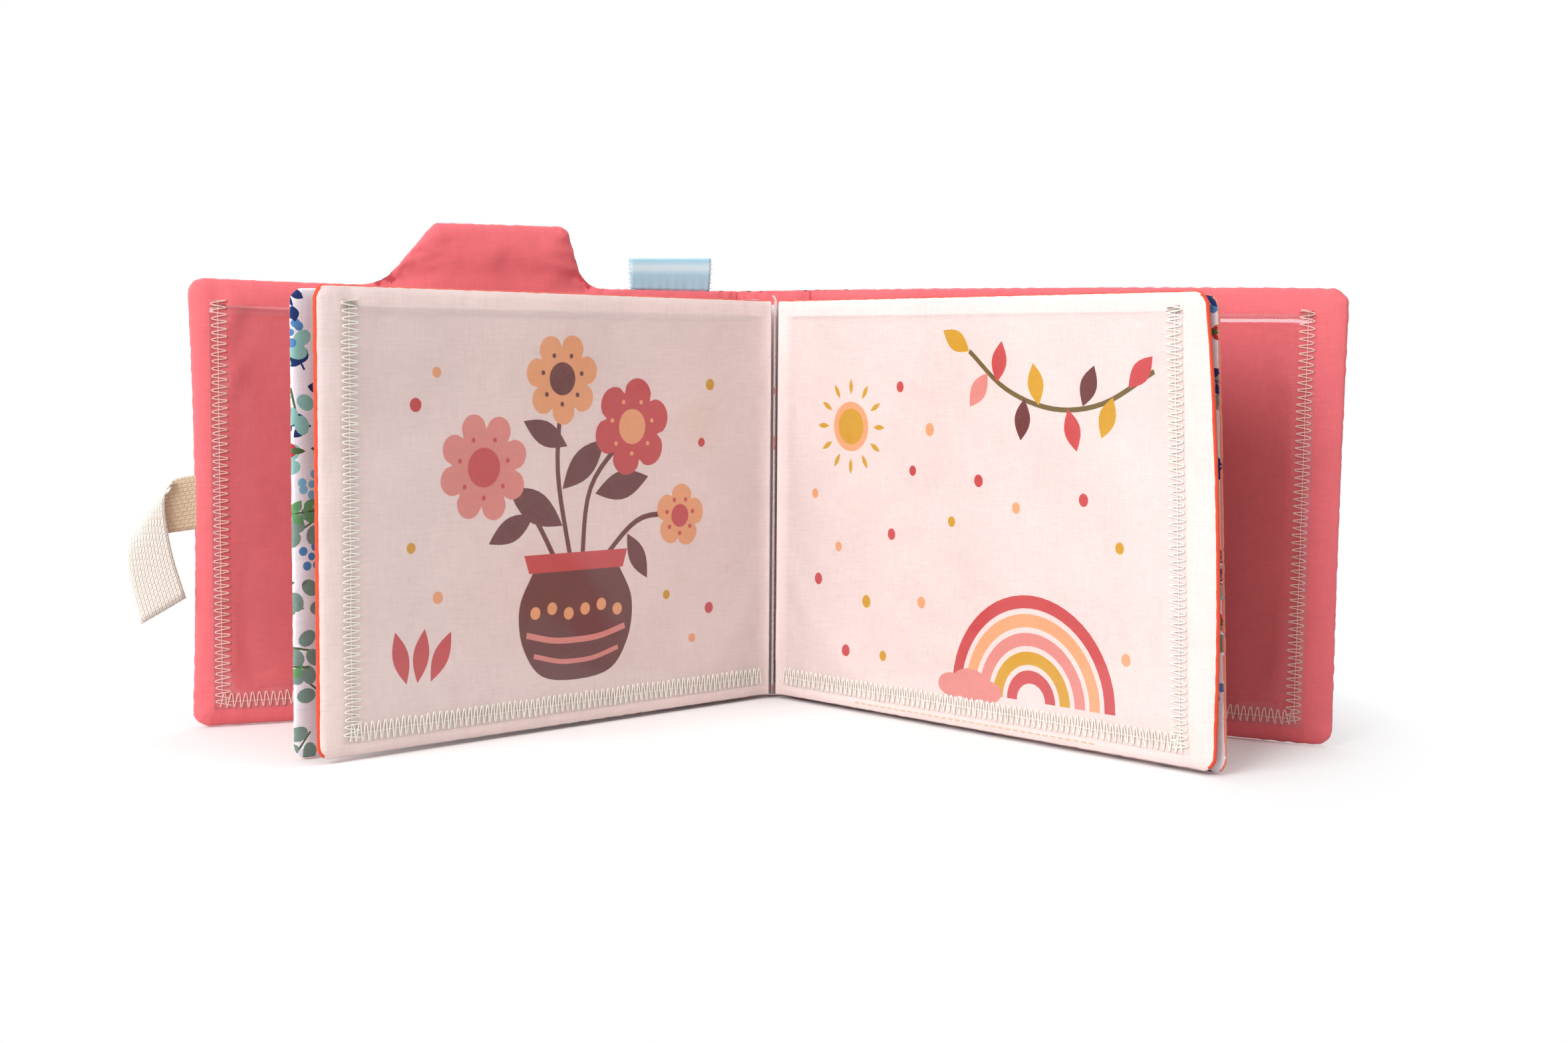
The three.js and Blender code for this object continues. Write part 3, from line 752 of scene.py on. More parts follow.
def settings_mm(group, name):
    """A length of the settings, in millimetres."""
    return getattr(getattr(bpy.context.scene, f"album_{group}"), name) / MM


def joint_place(name):
    """A joint's fold line and the angle that its panel stands at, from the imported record."""
    joint = JOINTS[name]
    return joint["pos_m"], -joint["range_deg"][0]


def cover_place(left):
    (x, y, _), angle = joint_place("front_cover_fold" if left else "back_cover_fold")
    return Place(x, y, 0, round(angle, 1), 1 if left else -1)


def leaf_place(left, inner):
    side = "left" if left else "right"
    (x, y, _), angle = joint_place(f"outer_{side}_leaf_fold")
    angle = round(angle, 1)
    if not inner:
        return Place(x, y, 0, angle, 1 if left else -1)
    joint = JOINTS[f"inner_{side}_leaf_turn"]
    x, y, _ = joint["pos_m"]
    lift = bpy.context.scene.album_leaf.lift
    return Place(x, y, lift, angle + joint["range_deg"][0], 1 if left else -1)


# Creases in the cloth: first end, last end, width and depth
FRONT_CREASES = (
    # The foot of the hump on its outer side
    ((131, 145), (112, 147), 1.2, 1.1), ((127, 147.5), (107, 152), 1.3, 1.4),
    ((122, 151.5), (104, 157.5), 1.2, 1.2), ((118.5, 156.5), (103, 162), 1.1, 1.0),
    # The foot of the hump beside the tag
    ((57, 145.5), (73, 146.5), 1.2, 1.1), ((58.6, 149), (77, 152), 1.2, 1.2),
    ((60.4, 154.5), (76, 157.5), 1.1, 1.0), ((61.8, 160), (72, 162), 1.0, 0.7),
    # Two broad hollows across the hump
    ((130, 148), (92, 151), 3.4, 1.0), ((58, 148), (92, 151), 3.4, 1.0),
    # The top hem
    ((2, 147), (2.6, 138), 1.1, 1.2), ((6.5, 147), (6, 139), 1.1, 1.0), ((52, 147), (50, 139), 1.1, 0.9),
)
BACK_CREASES = (
    ((1.5, 148), (2, 138), 1.1, 1.2), ((5.2, 148), (5.6, 139), 1.0, 1.3),
    ((9.4, 148), (9.2, 140), 1.1, 1.0), ((14, 148), (14.6, 139), 1.1, 1.1),
    ((20, 148), (19.6, 140), 1.2, 0.8), ((28, 148), (28, 141), 1.2, 0.6),
)
SPINE_CREASES = tuple(((s, 148), (s * 0.96, 138), 1.1, 1.1) for s in (-10.4, -5.5, -1.2, 3.4, 6.2, 10.6))


# In millimetres: how far a padded panel stays off its fold line, and the radius of its corners there
COVER_START = 0.5
SEWN_CORNER = 0.6


def cover_quilt(left):
    """The padded front or back cover. The front one has the hump on its top edge."""
    cover = bpy.context.scene.album_cover
    width, height = cover.width / MM, cover.height / MM
    radius = cover.corner / MM
    hump = []
    if left:
        top = cover.hump_top / MM
        hump = [(129.9, height, 16), (111.8, top, 4), (64.8, top, 4), (58.4, height, 9.5)]
    corners = [
        (COVER_START, 0, SEWN_CORNER), (width, 0, radius), (width, height, radius), *hump,
        (COVER_START, height, SEWN_CORNER),
    ]
    gathered = [(0, height, 17, 4.2)]
    if left:
        gathered += [(58, height, 12, 3.4), (126, height + 6, 16, 5.0), (66, cover.hump_top / MM, 9, 2.0)]
    crown = ((0, 1.1), (50, 1.1), (120, 0.7), (170, 0.0), (194, -0.6))
    if left:
        crown = ((0, 0.4), (55, 0.2), (140, -0.1), (170, 0.4), (194, 1.0))
    name = "front_cover" if left else "back_cover"
    rows = {"inset": 7.3 if left else 10.0, "foot": 6.2, "share": 0.84}
    return Quilt(
        name, cover_place(left), corners, cover.fullness / MM, cover.roll / MM, rows,
        3 if left else 11, 0.35, slant=0 if left else -1.8, bow=1.6 if left else 0.5,
        gathered=gathered, crown=crown, creases=FRONT_CREASES if left else BACK_CREASES,
    )


def spine_quilt():
    """The padded band between the two fold lines."""
    cover = bpy.context.scene.album_cover
    half = cover.spine_width / MM / 2 - COVER_START
    height = cover.height / MM
    corners = [(s, z, SEWN_CORNER) for s, z in ((-half, 0), (half, 0), (half, height), (-half, height))]
    y = JOINTS["front_cover_fold"]["pos_m"][1]
    return Quilt(
        "spine", SpinePlace(y), corners, cover.spine_fullness / MM, 7.5, None, 21, 0.2,
        gathered=[(0, height, 18, 4.0)], crown=((-13.5, 0.4), (13.5, 1.1)), creases=SPINE_CREASES,
    )


def leaf_quilt(left, inner):
    """One padded leaf. Its root runs on past the fold line into the seam."""
    leaf = bpy.context.scene.album_leaf
    width = (leaf.inner_width if inner else leaf.outer_width) / MM
    height = leaf.height / MM
    radius = leaf.corner / MM
    start = -1.7 if inner else -1.25
    corners = [
        (start, 0, SEWN_CORNER), (width, 0, radius), (width, height, radius), (start, height, SEWN_CORNER),
    ]
    name = f"{'inner' if inner else 'outer'}_{'left' if left else 'right'}_leaf"
    seed = 31 + 7 * inner + 13 * left
    rim = 1.0 if inner else (0.0 if left else 0.6)
    creases = ()
    if inner:
        creases = ((9.5, 142), (8.0, 122), 1.1, 0.35), ((17, 142), (16.4, 132), 1.2, 0.3)
    if inner and not left:
        creases += (((5.0, 142), (4.2, 46), 1.1, 0.7),)
    return Quilt(
        name, leaf_place(left, inner), corners, leaf.fullness / MM, leaf.roll / MM,
        {"inset": 9.0, "foot": 4.6, "share": 1.0}, seed, 0.24, slant=0 if left else leaf.slant / MM,
        rim=settings_mm("sewing", "rim") * rim, lean=1.5 if inner else 0.0, creases=creases,
        gathered=[(-2, height, 14, 1.5)], crown=((0, 0.0 if inner else 1.3), (80, 0)),
        bow=-2.6 if inner and not left else 0.0, scallop=0.6,
    )


QUILTS = {}


def quilt(name):
    """The panel of that name, stuffed once and kept for the windows and stitches on it."""
    if name not in QUILTS:
        if name == "spine":
            made = spine_quilt()
        elif name.endswith("cover"):
            made = cover_quilt(name.startswith("front"))
        else:
            made = leaf_quilt("left" in name, name.startswith("inner"))
        pressure, most = (4.0, 0.45) if "cover" in name else (2.5, 0.22)
        made.stuff(pressure, most)
        QUILTS[name] = made
    return QUILTS[name]


# Materials


def node_group(name, inputs, outputs):
    """An empty shader group with its named sockets."""
    group = bpy.data.node_groups.new(name, "ShaderNodeTree")
    for label, kind, value in inputs:
        socket = group.interface.new_socket(name=label, in_out="INPUT", socket_type=kind)
        if value is not None:
            socket.default_value = value
    for label, kind in outputs:
        group.interface.new_socket(name=label, in_out="OUTPUT", socket_type=kind)
    return group


class Wiring:
    """Short hand for adding nodes to a tree and joining them up."""

    def __init__(self, tree):
        self.tree = tree

    def add(self, kind, links=None, **values):
        node = self.tree.nodes.new(kind)
        for key, value in values.items():
            setattr(node, key, value)
        for key, source in (links or {}).items():
            socket = node.inputs[key]
            if isinstance(source, bpy.types.NodeSocket):
                self.tree.links.new(source, socket)
            else:
                socket.default_value = source
        return node

    def maths(self, operation, a, b=None, c=None):
        links = {0: a}
        if b is not None:
            links[1] = b
        if c is not None:
            links[2] = c
        return self.add("ShaderNodeMath", links, operation=operation).outputs[0]

    def blend(self, share, a, b, blend_type="MIX"):
        node = self.add("ShaderNodeMix", {0: share, 6: a, 7: b}, data_type="RGBA", blend_type=blend_type)
        return node.outputs[2]


def weave_group():
    """Plain weave: threads over and under, with slubs, read in millimetres."""
    if "plain_weave" in bpy.data.node_groups:
        return bpy.data.node_groups["plain_weave"]
    group = node_group(
        "plain_weave",
        [("Millimetres", "NodeSocketVector", None), ("Threads", "NodeSocketFloat", 3.2)],
        [("Height", "NodeSocketFloat"), ("Slubs", "NodeSocketFloat")],
    )
    w = Wiring(group)
    given = w.add("NodeGroupInput")
    parts = w.add("ShaderNodeSeparateXYZ", {0: given.outputs["Millimetres"]})
    turns = w.maths("MULTIPLY", given.outputs["Threads"], math.pi)
    across = w.maths("SINE", w.maths("MULTIPLY", parts.outputs[0], turns))
    along = w.maths("SINE", w.maths("MULTIPLY", parts.outputs[1], turns))
    product = w.maths("MULTIPLY", across, along)
    cross = w.maths("MULTIPLY_ADD", product, 0.5, 0.5)
    stretched = w.add("ShaderNodeMapping", {0: given.outputs["Millimetres"], 3: (0.12, 1.6, 1)})
    slub_a = w.add("ShaderNodeTexNoise", {"Vector": stretched.outputs[0], "Scale": 1.0, "Detail": 2.0})
    upright = w.add("ShaderNodeMapping", {0: given.outputs["Millimetres"], 3: (1.6, 0.12, 1)})
    slub_b = w.add("ShaderNodeTexNoise", {"Vector": upright.outputs[0], "Scale": 1.0, "Detail": 2.0})
    slubs = w.maths("MULTIPLY_ADD", slub_a.outputs[0], 0.5, w.maths("MULTIPLY", slub_b.outputs[0], 0.5))
    height = w.maths("MULTIPLY_ADD", slubs, 0.6, w.maths("MULTIPLY", cross, 0.6))
    result = w.add("NodeGroupOutput")
    w.tree.links.new(height, result.inputs["Height"])
    w.tree.links.new(slubs, result.inputs["Slubs"])
    return group


def wear_group():
    """Soft unevenness of washed cloth: broad cloudy patches and faint creases."""
    if "washed_cloth" in bpy.data.node_groups:
        return bpy.data.node_groups["washed_cloth"]
    group = node_group(
        "washed_cloth",
        [("Millimetres", "NodeSocketVector", None)],
        [("Clouds", "NodeSocketFloat"), ("Creases", "NodeSocketFloat")],
    )
    w = Wiring(group)
    given = w.add("NodeGroupInput")
    clouds = w.add("ShaderNodeTexNoise", {"Vector": given.outputs[0], "Scale": 0.03, "Detail": 3.0})
    creases = w.add(
        "ShaderNodeTexNoise",
        {"Vector": given.outputs[0], "Scale": 0.055, "Detail": 4.0, "Distortion": 0.6},
    )
    result = w.add("NodeGroupOutput")
    w.tree.links.new(clouds.outputs[0], result.inputs["Clouds"])
    w.tree.links.new(creases.outputs[0], result.inputs["Creases"])
    return group


def new_material(name, roughness, **constants):
    """A material with one surface shader, the wiring of its nodes and that shader."""
    material = bpy.data.materials.new(name)
    material.use_nodes = True
    tree = material.node_tree
    tree.nodes.clear()
    w = Wiring(tree)
    shader = w.add("ShaderNodeBsdfPrincipled", {"Roughness": roughness, **constants})
    output = w.add("ShaderNodeOutputMaterial")
    tree.links.new(shader.outputs[0], output.inputs[0])
    return material, w, shader


def cloth_millimetres(w):
    """The cloth's own flat coordinates, in millimetres."""
    uv = w.add("ShaderNodeUVMap", uv_map="cloth")
    scale = round(CLOTH_MAP / MM)
    return w.add("ShaderNodeMapping", {0: uv.outputs[0], 3: (scale, scale, scale)}).outputs[0]


def cotton(name, ground=None, ink_attribute=None):
    """Plain woven cotton, of one colour or printed."""
    if name in bpy.data.materials:
        return bpy.data.materials[name]
    constants = {"Sheen Weight": 0.4, "Sheen Roughness": 0.35, "Specular IOR Level": 0.12}
    material, w, shader = new_material(name, 0.95, **constants)
    flat = cloth_millimetres(w)
    weave = w.add("ShaderNodeGroup", node_tree=weave_group())
    w.tree.links.new(flat, weave.inputs["Millimetres"])
    weave.inputs["Threads"].default_value = 3.2
    wear = w.add("ShaderNodeGroup", node_tree=wear_group())
    w.tree.links.new(flat, wear.inputs[0])
    if ink_attribute:
        base = w.add("ShaderNodeAttribute", attribute_name=ink_attribute).outputs["Color"]
    else:
        base = (*ground, 1)
    shade = w.maths("MULTIPLY_ADD", weave.outputs["Slubs"], 0.32, 0.84)
    shade = w.maths("MULTIPLY", shade, w.maths("MULTIPLY_ADD", wear.outputs["Clouds"], 0.16, 0.92))
    tint = w.add("ShaderNodeCombineColor", {0: shade, 1: shade, 2: shade}).outputs[0]
    mixed = w.blend(1.0, base, tint, "MULTIPLY")
    w.tree.links.new(mixed, shader.inputs["Base Color"])
    relief = w.maths("MULTIPLY_ADD", wear.outputs["Creases"], 11.0, weave.outputs["Height"])
    bump = w.add("ShaderNodeBump", {"Height": relief, "Strength": 0.5, "Distance": 0.00014})
    w.tree.links.new(bump.outputs[0], shader.inputs["Normal"])
    return material


def clear_vinyl():
    """Clear film: it shows what lies under it, and mirrors the lights where it leans.

    Its edge beside the fold line is tucked into the seam, so it fades out there.
    """
    if "clear_vinyl" in bpy.data.materials:
        return bpy.data.materials["clear_vinyl"]
    tone = (0.72, 0.72, 0.74, 1)
    material, w, shader = new_material("clear_vinyl", 0.12, **{"Metallic": 1.0, "Base Color": tone})
    place = w.add("ShaderNodeTexCoord").outputs["Object"]
    waves = {"Vector": place, "Scale": 26.0, "Detail": 1.0, "Distortion": 0.6}
    ripples = w.add("ShaderNodeTexNoise", waves)
    bump = w.add("ShaderNodeBump", {"Height": ripples.outputs[0], "Strength": 0.5, "Distance": 0.0009})
    w.tree.links.new(bump.outputs[0], shader.inputs["Normal"])
    mirror = w.add("ShaderNodeFresnel", {"IOR": 1.5, "Normal": bump.outputs[0]})
    outer = w.maths("SUBTRACT", 1.0, w.add("ShaderNodeNewGeometry").outputs["Backfacing"])
    film = w.maths("MULTIPLY_ADD", mirror.outputs[0], 1.3, 0.03)
    across = w.add("ShaderNodeSeparateXYZ", {"Vector": cloth_millimetres(w)}).outputs[0]
    tucked = w.add("ShaderNodeMapRange", {"Value": across, "From Min": 2.6, "From Max": 5.0})
    shown = w.maths("MULTIPLY", outer, tucked.outputs[0])
    w.tree.links.new(w.maths("MULTIPLY", film, shown), shader.inputs["Alpha"])
    return material


def thread_material(name, tone):
    """Spun sewing thread of one colour, with slightly darker fibres."""
    if name in bpy.data.materials:
        return bpy.data.materials[name]
    material, w, shader = new_material(name, 0.6, **{"Sheen Weight": 0.6, "Specular IOR Level": 0.3})
    place = w.add("ShaderNodeTexCoord").outputs["Object"]
    fibres = w.add("ShaderNodeTexNoise", {"Vector": place, "Scale": 2600.0, "Detail": 2.0})
    darker = tuple(c * 0.95 for c in tone)
    mixed = w.blend(fibres.outputs[0], (*darker, 1), (*tone, 1))
    w.tree.links.new(mixed, shader.inputs["Base Color"])
    return material


def webbing_material():
    """Coarse cotton webbing: short floats in staggered rows, read along and across the strap, with painted
    shade near its sewn end.
    """
    if "cotton_webbing" in bpy.data.materials:
        return bpy.data.materials["cotton_webbing"]
    tone = bpy.context.scene.album_colour.webbing
    constants = {"Sheen Weight": 0.6, "Specular IOR Level": 0.2}
    material, w, shader = new_material("cotton_webbing", 0.92, **constants)
    flat = cloth_millimetres(w)
    floats = w.add(
        "ShaderNodeTexBrick",
        {
            "Vector": flat, "Scale": 1.0, "Mortar Size": 0.34, "Mortar Smooth": 1.0,
            "Brick Width": 2.1, "Row Height": 1.3, "Bias": 0.0,
        },
        offset=0.5,
    )
    parts = w.add("ShaderNodeSeparateXYZ", {0: flat})
    ridge = w.maths("SINE", w.maths("MULTIPLY", parts.outputs[1], math.pi / 0.65))
    yarn = w.maths("ABSOLUTE", ridge)
    lint = w.add("ShaderNodeTexNoise", {"Vector": flat, "Scale": 1.8, "Detail": 4.0})
    height = w.maths("MULTIPLY_ADD", yarn, 0.5, w.maths("MULTIPLY", floats.outputs[1], -1.0))
    height = w.maths("MULTIPLY_ADD", lint.outputs[0], 0.5, height)
    # Painted shade: over the first 12 to 19 mm from the sewn end, the part behind the fold, the ground is
    # painted tan and the gaps between floats much darker
    dark = tuple(c * f for c, f in zip(tone, (0.66, 0.56, 0.42)))
    tan = tuple(c * f for c, f in zip(tone, (0.8, 0.66, 0.5)))
    # sewn is the share of painted shade: 1 up to 12 mm from the sewn end, fading out by 19 mm
    sewn = w.add("ShaderNodeMapRange", {0: parts.outputs[0], 1: 19.0, 2: 12.0}).outputs[0]
    ground = w.blend(sewn, (*tone, 1), (*tan, 1))
    gaps = w.maths("MULTIPLY", floats.outputs[1], w.maths("MULTIPLY_ADD", sewn, 0.6, 0.07))
    mixed = w.blend(gaps, ground, (*dark, 1))
    shade = w.maths("MULTIPLY_ADD", lint.outputs[0], 0.12, 0.94)
    tint = w.add("ShaderNodeCombineColor", {0: shade, 1: shade, 2: shade}).outputs[0]
    w.tree.links.new(w.blend(1.0, mixed, tint, "MULTIPLY"), shader.inputs["Base Color"])
    bump = w.add("ShaderNodeBump", {"Height": height, "Strength": 0.7, "Distance": 0.00022})
    w.tree.links.new(bump.outputs[0], shader.inputs["Normal"])
    return material


def satin_material():
    """Satin ribbon: fine threads that shine along the ribbon's length, with a painted highlight band
    lightening the colour across the loop.
    """
    if "satin" in bpy.data.materials:
        return bpy.data.materials["satin"]
    tone = bpy.context.scene.album_colour.ribbon
    constants = {"Anisotropic": 0.7, "Specular IOR Level": 0.4, "Sheen Weight": 0.3}
    material, w, shader = new_material("satin", 0.32, **constants)
    flat = cloth_millimetres(w)
    stretched = w.add("ShaderNodeMapping", {0: flat, 3: (5.0, 0.25, 1)})
    threads = w.add("ShaderNodeTexNoise", {"Vector": stretched.outputs[0], "Scale": 1.0, "Detail": 3.0})
    darker = tuple(c * 0.86 for c in tone)
    mixed = w.blend(threads.outputs[0], (*darker, 1), (*tone, 1))
    # Painted highlight: a band along the loop, about 8 mm from the seam on each side, is lightened towards
    # pale cyan in place of the satin's sheen
    height = w.maths("PINGPONG", w.add("ShaderNodeSeparateXYZ", {0: flat}).outputs[1], 11.7)
    away = w.maths("ABSOLUTE", w.maths("SUBTRACT", height, 7.9))
    band = w.add("ShaderNodeMapRange", {0: away, 1: 2.6, 2: 0.2}, interpolation_type="SMOOTHSTEP")
    mixed = w.blend(w.maths("MULTIPLY", band.outputs[0], 0.85), mixed, (*linear(226, 248, 255), 1))
    w.tree.links.new(mixed, shader.inputs["Base Color"])
    bump = w.add("ShaderNodeBump", {"Height": threads.outputs[0], "Strength": 0.35, "Distance": 0.0002})
    w.tree.links.new(bump.outputs[0], shader.inputs["Normal"])
    return material


def hook_material():
    """Hook-and-loop tape: a dense nap of tiny loops."""
    if "hook_tape" in bpy.data.materials:
        return bpy.data.materials["hook_tape"]
    material, w, shader = new_material("hook_tape", 0.85, **{"Sheen Weight": 0.3})
    place = w.add("ShaderNodeTexCoord").outputs["Object"]
    loops = w.add("ShaderNodeTexVoronoi", {"Vector": place, "Scale": 1400.0})
    tone = linear(228, 218, 196)
    nap = loops.outputs["Distance"]
    mixed = w.blend(nap, (*tone, 1), (*(c * 0.6 for c in tone), 1))
    w.tree.links.new(mixed, shader.inputs["Base Color"])
    bump = w.add("ShaderNodeBump", {"Height": nap, "Strength": 0.7, "Distance": 0.0005})
    w.tree.links.new(bump.outputs[0], shader.inputs["Normal"])
    return material


# Making pieces


def mesh_piece(name, vertices, faces, material):
    mesh = bpy.data.meshes.new(name)
    mesh.from_pydata([Vector(v)[:] for v in vertices], [], faces)
    piece = bpy.data.objects.new(name, mesh)
    bpy.context.scene.collection.objects.link(piece)
    mesh.polygons.foreach_set("use_smooth", [True] * len(mesh.polygons))
    mesh.materials.append(material)
    return piece


def only(piece):
    """Makes a piece the one thing that is selected."""
    bpy.ops.object.select_all(action="DESELECT")
    piece.select_set(True)
    bpy.context.view_layer.objects.active = piece


def thread_piece(name, paths, thickness, material, radii=None):
    """Threads along the given world paths, as one mesh, with a width at each point if given."""
    curve = bpy.data.curves.new(name, "CURVE")
    curve.dimensions = "3D"
    curve.bevel_depth = thickness / 2
    curve.bevel_resolution = 1
    curve.use_fill_caps = True
    for number, path in enumerate(paths):
        spline = curve.splines.new("POLY")
        spline.points.add(len(path) - 1)
        for point, where in zip(spline.points, path):
            point.co = (*where, 1)
        if radii:
            spline.points.foreach_set("radius", radii[number])
    piece = bpy.data.objects.new(name, curve)
    bpy.context.scene.collection.objects.link(piece)
    only(piece)
    bpy.ops.object.convert(target="MESH")
    bpy.ops.object.shade_smooth()
    piece = bpy.context.view_layer.objects.active
    piece.name = name
    piece.data.materials.clear()
    piece.data.materials.append(material)
    return piece


def sheet_mesh(name, rows, material, uvs, thickness, cut=False):
    """A sheet over a grid of world points, with its flat coordinates. A cut one has sharp edges."""
    columns = len(rows[0])
    vertices = [point for row in rows for point in row]
    faces = []
    for i in range(len(rows) - 1):
        for j in range(columns - 1):
            a = i * columns + j
            faces.append([a, a + 1, a + columns + 1, a + columns])
    piece = mesh_piece(name, vertices, faces, material)
    layer = piece.data.uv_layers.new(name="cloth")
    flat = [uv for row in uvs for uv in row]
    for loop in piece.data.loops:
        u, v = flat[loop.vertex_index]
        layer.data[loop.index].uv = (u * MM / CLOTH_MAP, v * MM / CLOTH_MAP)
    solid = piece.modifiers.new("thickness", "SOLIDIFY")
    solid.thickness = thickness
    solid.offset = 0
    solid.use_rim = True
    only(piece)
    bpy.ops.object.modifier_apply(modifier=solid.name)
    bpy.ops.object.mode_set(mode="EDIT")
    bpy.ops.mesh.select_all(action="SELECT")
    bpy.ops.mesh.normals_make_consistent(inside=False)
    bpy.ops.object.mode_set(mode="OBJECT")
    for face in piece.data.polygons[2 * len(faces) :]:
        face.use_smooth = not cut
    return piece


def paint_inks(piece, tops, shapes, ground):
    """Writes each face's ink, so that the print has sharp edges at any distance."""
    mesh = piece.data
    layer = mesh.color_attributes.new("ink", "FLOAT_COLOR", "CORNER")
    inks = [ground] + [INKS[ink] for ink, _ in shapes]
    values = np.ones((len(mesh.loops), 4), dtype=np.float32)
    values[:, :3] = ground
    for face, top in enumerate(tops):
        values[face * 3 : face * 3 + 3, :3] = inks[top]
    layer.data.foreach_set("color", values.ravel())


# Operators


class AlbumOperator:
    """What the album's operators share"""

    bl_options = {"REGISTER", "UNDO"}


class ALBUM_OT_stage(AlbumOperator, bpy.types.Operator):
    """Add the camera, the pale floor and the soft studio lights"""

    bl_idname = "album.stage"
    bl_label = "Stage"

    def execute(self, context):
        self.camera(context)
        self.floor()
        self.lights(context)
        context.scene.view_settings.view_transform = "Standard"
        return {"FINISHED"}

    def camera(self, context):
        """The photograph's own view, fitted to the album's corners."""
        yaw, pitch, roll = (math.radians(turn) for turn in (CAMERA_YAW, CAMERA_PITCH, CAMERA_ROLL))
        forward = Vector(
            (math.sin(yaw) * math.cos(pitch), math.cos(yaw) * math.cos(pitch), -math.sin(pitch))
        )
        level = Vector((math.cos(yaw), -math.sin(yaw), 0))
        upward = level.cross(forward)
        right = level * math.cos(roll) + upward * math.sin(roll)
        up = upward * math.cos(roll) - level * math.sin(roll)
        data = bpy.data.cameras.new("camera")
        data.sensor_width = 36
        data.lens = FOCAL_PIXELS / PHOTO_WIDTH * data.sensor_width
        data.clip_start = 0.02
        camera = bpy.data.objects.new("camera", data)
        context.scene.collection.objects.link(camera)
        turn = Matrix((right, up, -forward)).transposed().to_4x4()
        camera.matrix_world = Matrix.Translation(CAMERA_PLACE) @ turn
        context.scene.camera = camera

    def floor(self):
        """A pale floor, which goes over into plain white away from the album."""
        bpy.ops.object.select_all(action="DESELECT")
        bpy.ops.mesh.primitive_plane_add(size=8, location=(0, 0, -0.0003))
        floor = bpy.context.object
        floor.name = "floor"
        material, w, shader = new_material("pale_floor", 0.9, **{"Specular IOR Level": 0.1})
        rays = w.add("ShaderNodeLightPath")
        seen = w.maths("MAXIMUM", rays.outputs["Is Camera Ray"], rays.outputs["Is Glossy Ray"])
        seen = w.maths("MAXIMUM", seen, rays.outputs["Is Transmission Ray"])
        tone = w.blend(seen, (0.78, 0.77, 0.76, 1), (1, 1, 1, 1))
        w.tree.links.new(tone, shader.inputs["Base Color"])
        place = w.add("ShaderNodeTexCoord").outputs["Object"]
        reach = w.add("ShaderNodeVectorMath", {0: place, 1: (-0.03, -0.03, 0)}, operation="DISTANCE")
        far = w.add("ShaderNodeMapRange", {0: reach.outputs["Value"], 1: 0.195, 2: 0.25}).outputs[0]
        glow = w.add("ShaderNodeEmission", {"Color": (1, 1, 1, 1), "Strength": 1.0})
        share = w.maths("MULTIPLY", far, seen)
        mixed = w.add("ShaderNodeMixShader", {0: share, 1: shader.outputs[0], 2: glow.outputs[0]})
        output = next(n for n in w.tree.nodes if n.type == "OUTPUT_MATERIAL")
        w.tree.links.new(mixed.outputs[0], output.inputs[0])
        floor.data.materials.append(material)

    def lights(self, context):
        """A white surround, dimmer in what it lights than where it is seen, and three soft lamps."""
        world = bpy.data.worlds.new("studio")
        context.scene.world = world
        world.use_nodes = True
        w = Wiring(world.node_tree)
        world.node_tree.nodes.clear()
        rays = w.add("ShaderNodeLightPath")
        seen = w.maths("MAXIMUM", rays.outputs["Is Camera Ray"], rays.outputs["Is Transmission Ray"])
        strength = w.add("ShaderNodeMapRange", {0: seen, 3: 0.46, 4: 1.0}).outputs[0]
        sky = w.add("ShaderNodeBackground", {"Color": (1, 1, 1, 1), "Strength": strength})
        output = w.add("ShaderNodeOutputWorld")
        w.tree.links.new(sky.outputs[0], output.inputs[0])
        self.lamp(context, "key", (-0.76, -1.0, 0.73), (0, 0, 0.07), 0.8, 14.0)
        self.lamp(context, "fill", (0.75, -1.1, 0.5), (0, 0, 0.07), 1.0, 0.6)
        self.lamp(context, "top", (0.0, 0.15, 1.3), (0, 0, 0), 1.3, 6.0)

    def lamp(self, context, name, where, aim, size, power):
        data = bpy.data.lights.new(name, "AREA")
        data.shape = "SQUARE"
        data.size = size
        data.energy = power
        lamp = bpy.data.objects.new(name, data)
        context.scene.collection.objects.link(lamp)
        lamp.location = where
        lamp.rotation_euler = (Vector(aim) - Vector(where)).to_track_quat("-Z", "Y").to_euler()


class ALBUM_OT_cover_panels(AlbumOperator, bpy.types.Operator):
    """Make the padded front cover with its hump, and the padded back cover"""

    bl_idname = "album.cover_panels"
    bl_label = "Cover Panels"

    def execute(self, context):
        colours = context.scene.album_colour
        for name in ("front_cover", "back_cover"):
            piece, _ = quilt(name).build(f"{name}_pad", 1.9)
            piece.data.materials.append(cotton("lining_cotton", colours.lining))
            piece.data.materials.append(cotton("cover_cotton", colours.cover))
            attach(piece, name)
            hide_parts(f"{name}_lining", f"{name}_outer", f"{name}_wadding")
        return {"FINISHED"}


